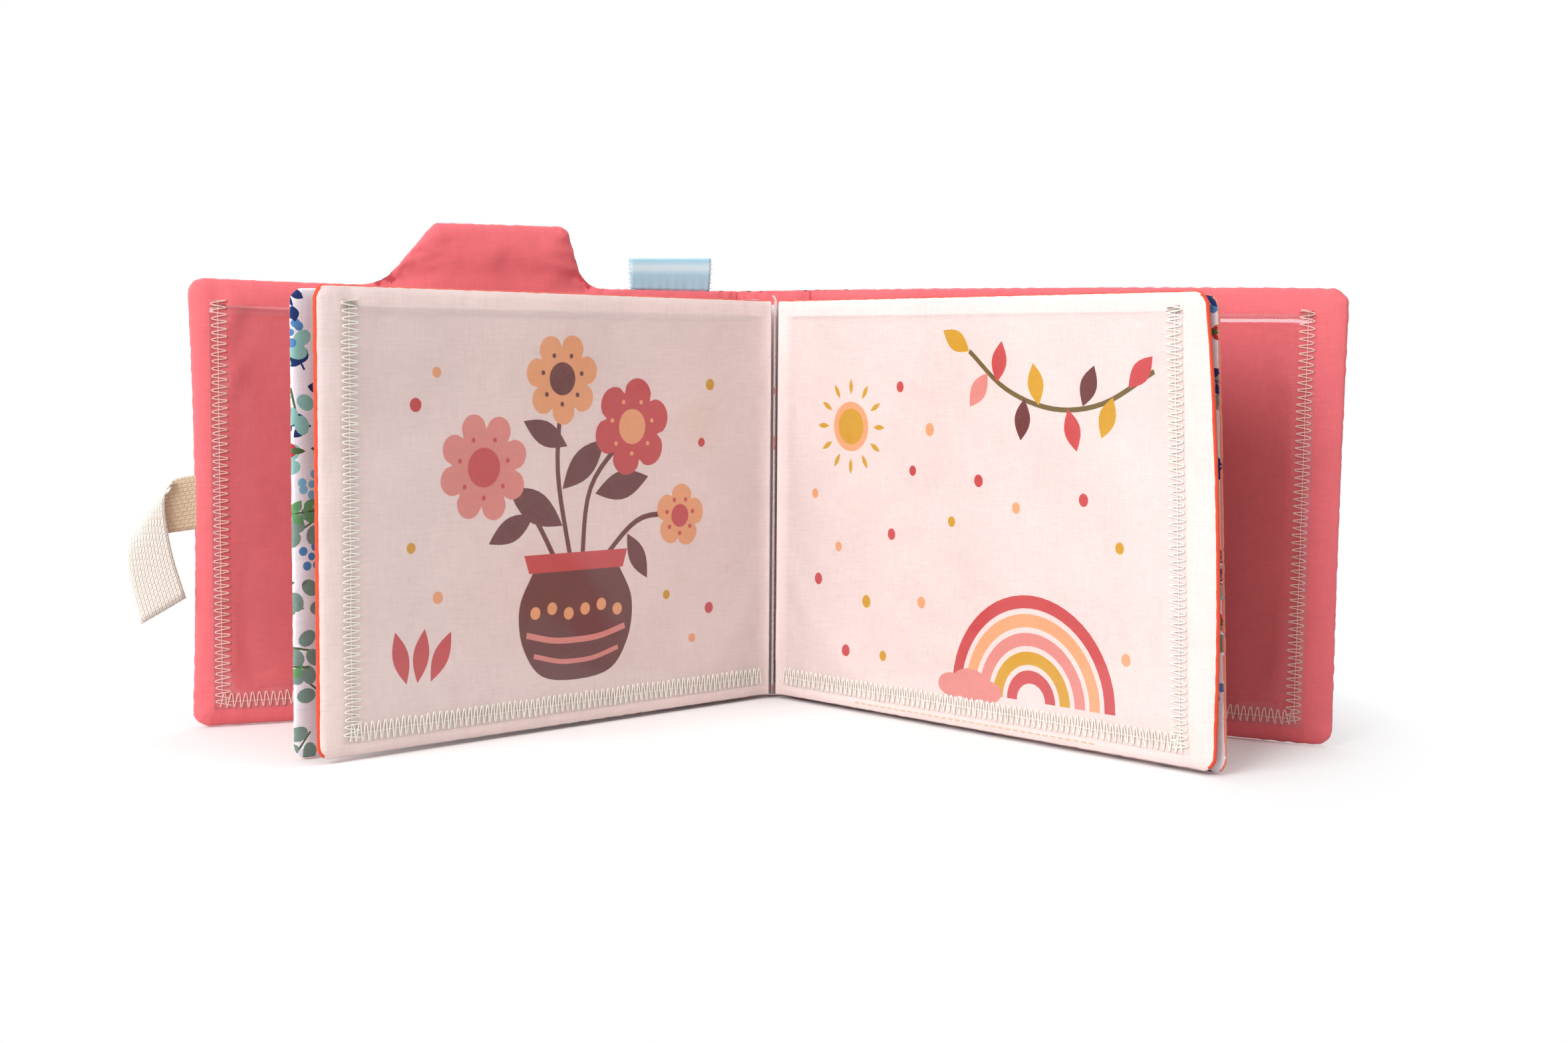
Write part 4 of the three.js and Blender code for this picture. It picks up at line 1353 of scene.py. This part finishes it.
class ALBUM_OT_spine_band(AlbumOperator, bpy.types.Operator):
    """Make the padded spine band between the two fold lines, and the cloth of the folds"""

    bl_idname = "album.spine_band"
    bl_label = "Spine Band"

    def execute(self, context):
        colours = context.scene.album_colour
        piece, _ = quilt("spine").build("spine_pad", 2.2)
        piece.data.materials.append(cotton("lining_cotton", colours.lining))
        piece.data.materials.append(cotton("cover_cotton", colours.cover))
        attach(piece, "spine")
        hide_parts("spine_lining", "spine_outer", "spine_wadding")
        for name in ("front_cover", "back_cover"):
            self.fold(context, name)
        return {"FINISHED"}

    def fold(self, context, name):
        """The sewn-through cloth at a fold line, which bends with the cover."""
        side = -1 if name == "front_cover" else 1
        band = quilt("spine").place
        cover = quilt(name).place
        reach = 2.2
        height = context.scene.album_cover.height / MM
        edge = side * context.scene.album_cover.spine_width / MM / 2
        line = [band.point(edge - side * reach, 0, 0), cover.point(0, 0, 0), cover.point(reach, 0, 0)]
        path = smooth_line(line, 5)
        heights = np.linspace(0.6, height - 0.2 + quilt(name).crown[0][1], 48)
        rows = [[Vector((p.x, p.y, z * MM)) for p in path] for z in heights]
        uvs = [[(k * reach / 5, z) for k in range(len(path))] for z in heights]
        material = cotton("lining_cotton", context.scene.album_colour.lining)
        piece = sheet_mesh(f"{name}_fold_cloth", rows, material, uvs, 0.9 * MM)
        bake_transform(piece)
        self.fold_stitches(context, name, path, band, cover)

    def fold_stitches(self, context, name, path, band, cover):
        """Straight stitches along the fold line, on the inside and the outside."""
        sewing = context.scene.album_sewing
        facing = (band.inside + cover.inside).normalized()
        middle = cover.point(0, 0, 0)
        pitch = sewing.running_pitch / MM
        paths = []
        lowest, highest = 3.0, context.scene.album_cover.height / MM - 2
        for side in (1, -1):
            for count in range(math.ceil((highest - lowest) / pitch) - 1):
                foot = middle + Vector((0, 0, (lowest + count * pitch) * MM))
                paths.append(stitch_path(foot, facing * side, pitch, 0.62))
        material = thread_material("coral_thread", linear(214, 106, 112))
        piece = thread_piece(f"{name}_fold_stitches", paths, sewing.thread * 0.9, material)
        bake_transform(piece)


# Shares of a straight stitch's length, and how far the thread lies off the cloth there, in millimetres
STITCH_PROFILE = (
    (0.06, -0.65), (0.1, -0.2), (0.22, 0.0), (0.5, 0.06), (0.76, 0.0), (0.88, -0.2), (0.92, -0.65),
)


def stitch_path(foot, facing, pitch, lift):
    """One upright straight stitch: down into the cloth at both ends, and raised between them."""
    return [
        foot + (Vector((0, 0, pitch * t)) + facing * (lift + rise)) * MM for t, rise in STITCH_PROFILE
    ]


class ALBUM_OT_leaves(AlbumOperator, bpy.types.Operator):
    """Make the four padded leaves with their printed fronts"""

    bl_idname = "album.leaves"
    bl_label = "Leaves"

    def execute(self, context):
        colours = context.scene.album_colour
        backs = {
            "inner": cotton("orange_cotton", colours.orange),
            "outer": cotton("salmon_cotton", colours.salmon),
        }
        for name in LEAVES:
            kind = name.split("_")[0]
            panel = quilt(name)
            shapes = self.shapes(name, panel)
            piece, tops = panel.build(f"{name}_pad", 2.6, shapes)
            ground = colours.blush if kind == "inner" else colours.white
            paint_inks(piece, tops, shapes, ground)
            piece.data.materials.append(cotton("printed_cotton", ink_attribute="ink"))
            piece.data.materials.append(backs[kind])
            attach(piece, name)
            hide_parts(f"{name}_front", f"{name}_back", f"{name}_wadding")
        return {"FINISHED"}

    def shapes(self, name, panel):
        if name == "inner_left_leaf":
            return mirrored(pot_print(), 178)
        if name == "inner_right_leaf":
            return rainbow_print()
        return meadow_print(panel.right, panel.top, 5 if "left" in name else 8)


def mirrored(shapes, width):
    """The print for a leaf that runs out to the left, with each outline kept counter-clockwise."""
    return [(ink, [(width - s, z) for s, z in outline][::-1]) for ink, outline in shapes]


class ALBUM_OT_sheet_roots(AlbumOperator, bpy.types.Operator):
    """Make the cloth where the two sheets are sewn to the spine, and the centre seam"""

    bl_idname = "album.sheet_roots"
    bl_label = "Sheet Roots"

    def execute(self, context):
        colours = context.scene.album_colour
        height = context.scene.album_leaf.height / MM
        self.strip(
            "outer_sheet_root", "outer_sheet_gutter", height, 0,
            [(-6.0, -1.0), (-5.0, -0.1), (-3, 0.26), (0, 0.32), (3, 0.26), (5.0, -0.1), (6.0, -1.0)],
            cotton("white_cotton", colours.white), "white_print", 0.4,
        )
        self.strip(
            "inner_sheet_root", "inner_sheet_ridge", height, 1.0,
            [(-0.27, -4.1), (-0.2, -3.2), (-0.16, -2), (0, -0.5), (0.16, -2), (0.2, -3.2), (0.27, -4.1)],
            cotton("blush_cotton", colours.blush), "pale_print", 0.24,
        )
        self.centre_seam(context, height)
        return {"FINISHED"}

    def strip(self, name, node, height, lift, line, material, slot, thickness):
        path = smooth_line([Vector((x, y, 0)) for x, y in line], 4)
        heights = np.linspace(lift + 0.5, lift + height - 0.5, 40)
        rows = [[Vector((p.x * MM, p.y * MM, z * MM)) for p in path] for z in heights]
        uvs = [[(p.x, z) for p in path] for z in heights]
        piece = sheet_mesh(name, rows, material, uvs, thickness * MM)
        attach(piece, "spine")
        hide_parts(node)

    def centre_seam(self, context, height):
        """Straight stitches down the middle, on the reader's side, with thread ends at their top."""
        sewing = context.scene.album_sewing
        pitch = sewing.running_pitch / MM
        facing = Vector((0, -1, 0))
        ridge_front = -3.9
        lowest = 2.0
        tacked = (0, 35, 36, 43)
        paths, flecks = [], []
        for count in range(math.ceil((height + 1 - lowest) / pitch) - 1):
            sway = 0.04 * math.sin(count * 1.7)
            foot = Vector((sway, ridge_front, lowest + count * pitch)) * MM
            path = stitch_path(foot, facing, pitch, 0.45)
            (flecks if count in tacked else paths).append(path)
        ends = [
            (-0.9, -3.9, 144.6), (-0.3, -5.1, 143.6), (0.2, -5.5, 142.0),
            (-0.2, -5.3, 139.6), (0.1, -4.7, 137.4),
        ]
        for shift in (0.0, 0.35):
            line = [Vector((x + shift, y, z)) * MM for x, y, z in ends]
            paths.append(smooth_line(line, 4))
        grey = thread_material("seam_thread", linear(216, 205, 196))
        piece = thread_piece("centre_seam_stitches", paths, sewing.thread * 0.9, grey)
        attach(piece, "spine")
        orange = thread_material("orange_thread", linear(226, 96, 60))
        piece = thread_piece("centre_seam_bar_tacks", flecks, sewing.thread, orange)
        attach(piece, "spine")


def window_sides(name):
    return (1,) if name.endswith("cover") else (1, -1)


def window_name(name, side):
    if name.endswith("cover"):
        return f"{name}_window"
    return f"{name}_{'front' if side == 1 else 'back'}_window"


def pocket_top(name):
    """Height of a pocket's open mouth, in millimetres."""
    if name.endswith("cover"):
        return settings_mm("cover", "height") - 8.6
    return quilt(name).top - 5.8


def inner_front(name, side):
    """Whether this is a reader's side of the inner sheet, whose film and rows run into the fold."""
    return side == 1 and name.startswith("inner")


def ramp(values, start, run):
    """Rises from 0 at the start to 1 after the run."""
    return np.clip((values - start) / run, 0, 1)


class ALBUM_OT_windows(AlbumOperator, bpy.types.Operator):
    """Lay a clear window over each pocket, open at the top"""

    bl_idname = "album.windows"
    bl_label = "Clear Windows"

    def execute(self, context):
        for name in PANELS:
            for side in window_sides(name):
                self.window(context, name, side)
        return {"FINISHED"}

    def window(self, context, name, side):
        panel = quilt(name)
        lip = 0.7
        start = 0.9 if inner_front(name, side) else 2.5
        across = np.linspace(start, panel.right - panel.rows["inset"] + lip, 72)
        up = np.linspace(panel.rows["foot"] - lip, pocket_top(name), 44)
        points = np.array([(s, z) for s in across for z in up])
        lift = self.lift(panel, side, points, across[-1], up[0], up[-1])
        world = panel.world(points, side, lift)
        columns = len(up)
        rows = [world[i * columns : (i + 1) * columns] for i in range(len(across))]
        uvs = [[(s, z) for z in up] for s in across]
        title = window_name(name, side)
        thickness = context.scene.album_sewing.window
        made = sheet_mesh(f"{title}_film", rows, clear_vinyl(), uvs, thickness, cut=True)
        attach(made, name)
        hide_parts(title)

    def lift(self, panel, side, points, end, low, high):
        """How far the film lies off the cloth: it billows a little, and is drawn flat at its mouth."""
        s, z = points[:, 0], points[:, 1]
        billow = ramp(end - s, 7, 16) * ramp(z - low, 7, 16) * ramp(s, 0.9, 9)
        billow *= 0.2 + 0.8 * ramp(high - z, 0, 16)
        sway = np.array(
            [
                noise.noise(Vector((u / 17, v / 46, panel.seed + 3.3 * side)))
                + 0.4 * noise.noise(Vector((u / 7.5, v / 21, panel.seed + 6.1 * side)))
                for u, v in points
            ]
        )
        lift = 0.2 + 0.34 * billow * (0.55 + 0.45 * sway)
        lift += np.where(panel.row_groove(points) > 0.1, -0.02, 0.02)
        lift += self.ripples(panel.name, side, points)
        taut = panel.full + 0.35 - panel.half_thickness(points, side)
        mouth = ramp(z, high - 14, 14) * ramp(end - s, 6, 8) * ramp(s, 1, 8)
        return lift + (taut - lift) * mouth**2 * (3 - 2 * mouth)

    def ripples(self, name, side, points):
        """Soft creases that stand up in a film, each running down from a height and bending out."""
        lines = {
            "back_cover": ((174.0, 133, 117, 3.6), (169.5, 118, 104, 2.0)),
            "front_cover": ((170.0, 112, 92, 3.0),),
            "inner_right_leaf": ((9.0, 128, 60, 3.0), (24.0, 128, 96, -4.0)),
            "inner_left_leaf": ((22.0, 132, 96, 3.0), (12.0, 40, 12, 3.0)),
        }
        total = np.zeros(len(points))
        if side < 0:
            return total
        for s, high, low, bend in lines.get(name, ()):
            share = np.clip((high - points[:, 1]) / (high - low), 0, 1)
            crest = s + bend * share**1.6
            swell = np.sin(math.pi * share) ** 0.6
            total += 0.34 * swell * np.exp(-(((points[:, 0] - crest) / 1.3) ** 2))
        return total


class ALBUM_OT_zigzag_rows(AlbumOperator, bpy.types.Operator):
    """Sew each window down with a zigzag row along the fore edge and one along the foot"""

    bl_idname = "album.zigzag_rows"
    bl_label = "Zigzag Rows"

    def execute(self, context):
        cream = thread_material("cream_thread", context.scene.album_colour.thread)
        pink = thread_material("pink_thread", linear(252, 206, 198))
        for name in PANELS:
            for side in window_sides(name):
                self.rows(context, name, side, pink if name.endswith("cover") else cream)
        return {"FINISHED"}

    def rows(self, context, name, side, material):
        """Both rows of one window, each with a straight thread through it, and the fastening knot."""
        panel = quilt(name)
        sewing = context.scene.album_sewing
        on_cover = name.endswith("cover")
        half = sewing.row_width / MM / 2 * panel.rows["share"]
        pitch = sewing.pitch / MM
        column = panel.right - panel.rows["inset"] - half
        foot = panel.rows["foot"] + half
        top = pocket_top(name) + 1.5
        start = 2.4 if inner_front(name, side) else 3.0
        flats = [
            zigzag((column, foot - half * 0.6), (column, top), half, pitch, 1),
            zigzag((start, foot), (column + half * 0.4, foot), half, pitch, -1),
            wavy_line((column + 0.3, foot - half * 0.4), (column + 0.3, top), panel.seed),
            wavy_line((start, foot - 0.3), (column, foot - 0.3), panel.seed + 2),
            knot((column, top), half, panel.seed),
        ]
        sunk = 0.12 if on_cover or inner_front(name, side) else 0.26
        paths = [panel.world(flat, side, np.array(rises) - sunk) for flat, rises, _ in flats]
        radii = [widths for _, _, widths in flats]
        thickness = sewing.thread * (0.78 if on_cover else 1.0)
        piece = thread_piece(f"{window_name(name, side)}_stitches", paths, thickness, material, radii)
        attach(piece, name)


# Shares of a zigzag stitch's length and half width, and the thread's height and width there
ZIGZAG_PROFILE = (
    (0.0, 1.0, 0.34, 1.7), (0.07, 0.88, 0.5, 1.1), (0.3, -0.55, 0.6, 1.0), (0.4, -0.92, 0.52, 1.0),
    (0.5, -1.0, 0.46, 1.1), (0.6, -0.92, 0.52, 1.0), (0.7, -0.55, 0.6, 1.0), (0.93, 0.88, 0.5, 1.1),
)


def zigzag(start, end, half, pitch, side):
    """A row of zigzag stitches: sharp at the needle's side and looped at the other."""
    start, end = Vector(start), Vector(end)
    along = (end - start).normalized()
    across = Vector((-along.y, along.x)) * side
    count = round((end - start).length / pitch)
    step = (end - start).length / count
    points, rises, widths = [], [], []
    for k in range(count):
        shift = 0.16 * noise.noise(Vector((k * 0.83, start.x, start.y)))
        lean = 0.14 * noise.noise(Vector((k * 0.61, start.y, 7.7)))
        for t, reach, rise, width in ZIGZAG_PROFILE:
            spot = start + along * step * (k + t + lean * reach) + across * half * (reach + shift)
            points.append(spot[:])
            rises.append(rise)
            widths.append(width)
    return points, rises, widths


def knot(centre, half, seed):
    """Short back stitches, one over the other, that fasten the end of a row."""
    chance = random.Random(seed)
    points, rises = [], []
    for k in range(11):
        side = half * (0.9 if k % 2 else -0.9) + chance.uniform(-0.5, 0.5)
        points.append((centre[0] + side, centre[1] - 0.3 * k + chance.uniform(-0.4, 0.4)))
        rises.append(0.4 + 0.15 * chance.random())
    return points, rises, [1.1] * len(points)


def wavy_line(start, end, seed):
    """A straight thread that lies between the zigzags."""
    start, end = Vector(start), Vector(end)
    steps = round((end - start).length / 1.5)
    side = Vector((-(end - start).y, (end - start).x)).normalized()
    points = [
        (start.lerp(end, k / steps) + side * 0.22 * noise.noise(Vector((k * 0.4, seed, 0))))[:]
        for k in range(steps + 1)
    ]
    return points, [0.4] * len(points), [0.75] * len(points)


class ALBUM_OT_closing_stitches(AlbumOperator, bpy.types.Operator):
    """Close the turning gap at the foot of the right inner leaf with small running stitches"""

    bl_idname = "album.closing_stitches"
    bl_label = "Closing Stitches"

    def execute(self, context):
        panel = quilt("inner_right_leaf")
        start, end = Vector((38.3, 2.4)), Vector((144.2, 2.6))
        pitch = 3.1
        count = int((end - start).length / pitch)
        paths = []
        for k in range(count):
            spots = [start.lerp(end, (k + t) / count) for t in (0.08, 0.14, 0.3, 0.6, 0.74, 0.8)]
            points = np.array([spot[:] for spot in spots])
            rises = np.array([-0.3, 0.06, 0.16, 0.16, 0.06, -0.3])
            paths.append(panel.world(points, 1, rises))
        material = thread_material("peach_thread", linear(240, 202, 170))
        thickness = context.scene.album_sewing.thread * 0.85
        piece = thread_piece("closing_stitches", paths, thickness, material)
        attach(piece, "inner_right_leaf")
        return {"FINISHED"}


class ALBUM_OT_strap(AlbumOperator, bpy.types.Operator):
    """Make the webbing strap, folded over and hanging in front"""

    bl_idname = "album.strap"
    bl_label = "Strap"

    def execute(self, context):
        place = quilt("front_cover").place
        trim = context.scene.album_trim
        stations = self.stations()
        rows, uvs, run = self.rows_over(place, stations, (0, 1), 0)
        piece = sheet_mesh("strap_webbing", rows, webbing_material(), uvs, trim.strap_thickness * 0.85)
        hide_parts("strap_root", "strap_tail")
        fold = (208, 74)
        low, high = place.point(*fold, 0.7), place.point(*fold, 1.9)
        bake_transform(piece)
        hanging = stations[-17:-2]
        rows, uvs, _ = self.rows_over(place, hanging, (0.14, 0.86), -1.05)
        patch = sheet_mesh("strap_hook_tape", rows, hook_material(), uvs, 0.9 * MM)
        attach(patch, "strap_tail")
        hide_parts("strap_hook_patch")
        loops = frame["nodes"]["back_loop_patch"]
        loops.data.materials.clear()
        loops.data.materials.append(hook_material())
        return {"FINISHED"}

    def stations(self):
        """Both edges of the strap and its height, from its sewn end over the fold to its free end."""
        stations = []
        drop = Vector((-1.0, -0.8))
        sewn, fold = ((189.6, 82.9), (189.6, 65.5)), ((199.8, 81.8), (212.8, 62.6))
        for t in np.linspace(0, 1, 14):
            high, low = (Vector(a).lerp(Vector(b), t) for a, b in zip(sewn, fold))
            stations.append((high + drop * t**4, low, 0.3 * t * t))
        outward = Vector((0.82, 0.57))
        for angle in np.linspace(0, math.pi, 11)[1:-1]:
            curl = math.sin(angle)
            high = Vector(fold[0]) + drop * (1 + 0.3 * angle / math.pi) + outward * curl * 0.6
            low = Vector(fold[1]) + outward * curl * 0.7
            stations.append((high, low, 0.3 + 1.05 * (1 - math.cos(angle))))
        inner = ((198.5, 80.8), (201.2, 77.4), (201.8, 73.0), (201.2, 66.5), (199.2, 56.0), (195.4, 43.1))
        outer = ((212.8, 62.6), (213.3, 60.0), (213.5, 57.0), (213.2, 53.0), (212.2, 46.0), (209.4, 35.2))
        inner, outer = (smooth_line([Vector(point) for point in edge], 5) for edge in (inner, outer))
        for k, (high, low) in enumerate(zip(inner[1:], outer[1:])):
            t = (k + 1) / (len(inner) - 1)
            stations.append((high, low, 2.4 + 1.1 * math.sin(math.pi * t) * (1 - 0.4 * t) + 0.3 * t))
        return stations

    def rows_over(self, place, stations, span, offset):
        """Rows of points across part of the strap, their flat coordinates and the length run."""
        width = bpy.context.scene.album_trim.strap_width / MM
        shares = np.linspace(*span, 13)
        rows, uvs = [], []
        run, previous = 0.0, None
        for high, low, n in stations:
            heights = n + offset + 0.22 * np.sin(3 * shares)
            row = [place.point(*high.lerp(low, share), z) for share, z in zip(shares, heights)]
            middle = row[len(row) // 2]
            run += (middle - previous).length / MM if previous else 0
            previous = middle
            rows.append(row)
            uvs.append([(run, (share - 0.5) * width) for share in shares])
        return rows, uvs, run


class ALBUM_OT_ribbon_tag(AlbumOperator, bpy.types.Operator):
    """Make the folded satin ribbon in the top seam, with picots along its edges"""

    bl_idname = "album.ribbon_tag"
    bl_label = "Ribbon Tag"

    def execute(self, context):
        trim = context.scene.album_trim
        place = quilt("front_cover").place
        width, height = trim.tag_width / MM, trim.tag_height / MM
        start = 10.9
        foot = settings_mm("cover", "height") + 0.1
        profile = self.profile(height)
        across = np.linspace(0, width, 32)
        rows, uvs = [], []
        run = 0.0
        for k, (n, z) in enumerate(profile):
            if k:
                run += math.hypot(n - profile[k - 1][0], z - profile[k - 1][1])
            row = []
            for s in across:
                gather = 0.16 * math.sin(s * 1.9 + 0.6 * math.sin(s)) * math.exp(-z / 2.6)
                taper = (s / width - 0.5) * -0.9 * (1 - z / height)
                rise = (0.4 - 0.8 * s / width) * z / height
                row.append(place.point(start + s + taper, foot + z + rise, n + gather))
            rows.append(row)
            uvs.append([(s, run) for s in across])
        piece = sheet_mesh("ribbon_loop", rows, satin_material(), uvs, 0.22 * MM)
        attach(piece, "ribbon_tag")
        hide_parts("ribbon_tag")
        self.picots(context, place, profile, start, foot, width)
        return {"FINISHED"}

    def profile(self, height):
        """The loop seen from its side, from the seam over the fold and back to the seam."""
        bend = 0.62
        up = [(0.15, 0), (0.38, height * 0.25), (0.75, height * 0.55), (bend, height - 1.0)]
        angles = np.linspace(0.3, 2.84, 7)
        over = [(bend * math.cos(a), height - bend + bend * math.sin(a)) for a in angles]
        down = [(-n, z) for n, z in reversed(up)]
        line = smooth_line([Vector(p) for p in up + over + down], 3)
        return [(p.x, p.y) for p in line]

    def picots(self, context, place, profile, start, foot, width):
        """Small thread loops along both edges of the ribbon, up to just below its fold."""
        count = context.scene.album_trim.picots
        top = profile[len(profile) // 2][1]
        spots = [profile[round(k * (len(profile) - 1) / (2 * count))] for k in range(1, 2 * count)]
        spots = [(n, z) for n, z in spots if z < top - 0.9]
        paths = []
        for edge, outward in ((0.1, -1), (width - 0.1, 1)):
            for n, z in spots:
                loop = []
                for angle in np.linspace(-1.5, 1.5, 7):
                    s = start + edge + outward * (1.1 * math.cos(angle) - 0.4)
                    taper = (edge / width - 0.5) * -0.9 * (1 - z / top)
                    rise = -0.4 * outward * z / top + 0.22 * math.sin(angle)
                    loop.append(place.point(s + taper, foot + z + rise, n * 1.06))
                paths.append(loop)
        material = thread_material("ribbon_thread", linear(240, 250, 255))
        piece = thread_piece("ribbon_picots", paths, 0.24 * MM, material)
        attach(piece, "ribbon_tag")


OPERATORS = (
    ALBUM_OT_stage,
    ALBUM_OT_cover_panels,
    ALBUM_OT_spine_band,
    ALBUM_OT_leaves,
    ALBUM_OT_sheet_roots,
    ALBUM_OT_windows,
    ALBUM_OT_zigzag_rows,
    ALBUM_OT_closing_stitches,
    ALBUM_OT_strap,
    ALBUM_OT_ribbon_tag,
)
SETTINGS = {
    "album_cover": AlbumCoverSettings,
    "album_leaf": AlbumLeafSettings,
    "album_sewing": AlbumSewingSettings,
    "album_trim": AlbumTrimSettings,
    "album_colour": AlbumColourSettings,
}


class ALBUM_PT_sidebar(bpy.types.Panel):
    """Lists the album's pieces and their settings"""

    bl_label = "Photo Album"
    bl_space_type = "VIEW_3D"
    bl_region_type = "UI"
    bl_category = "Photo Album"

    def draw(self, context):
        layout = self.layout
        for operator in OPERATORS:
            layout.operator(operator.bl_idname)
        for name, group in SETTINGS.items():
            box = layout.box()
            box.label(text=name.replace("_", " ").capitalize())
            for key in group.__annotations__:
                box.prop(getattr(context.scene, name), key)


def register():
    for group in SETTINGS.values():
        bpy.utils.register_class(group)
    for operator in OPERATORS:
        bpy.utils.register_class(operator)
    bpy.utils.register_class(ALBUM_PT_sidebar)
    for name, group in SETTINGS.items():
        setattr(bpy.types.Scene, name, PointerProperty(type=group))


def unregister():
    for name in SETTINGS:
        delattr(bpy.types.Scene, name)
    bpy.utils.unregister_class(ALBUM_PT_sidebar)
    for operator in reversed(OPERATORS):
        bpy.utils.unregister_class(operator)
    for group in reversed(SETTINGS.values()):
        bpy.utils.unregister_class(group)


def main():
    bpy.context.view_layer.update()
    register()
    bpy.ops.album.stage()
    bpy.ops.album.cover_panels()
    bpy.ops.album.spine_band()
    bpy.ops.album.leaves()
    bpy.ops.album.sheet_roots()
    bpy.ops.album.windows()
    bpy.ops.album.zigzag_rows()
    bpy.ops.album.closing_stitches()
    bpy.ops.album.strap()
    bpy.ops.album.ribbon_tag()


if __name__ == "__main__":
    main()
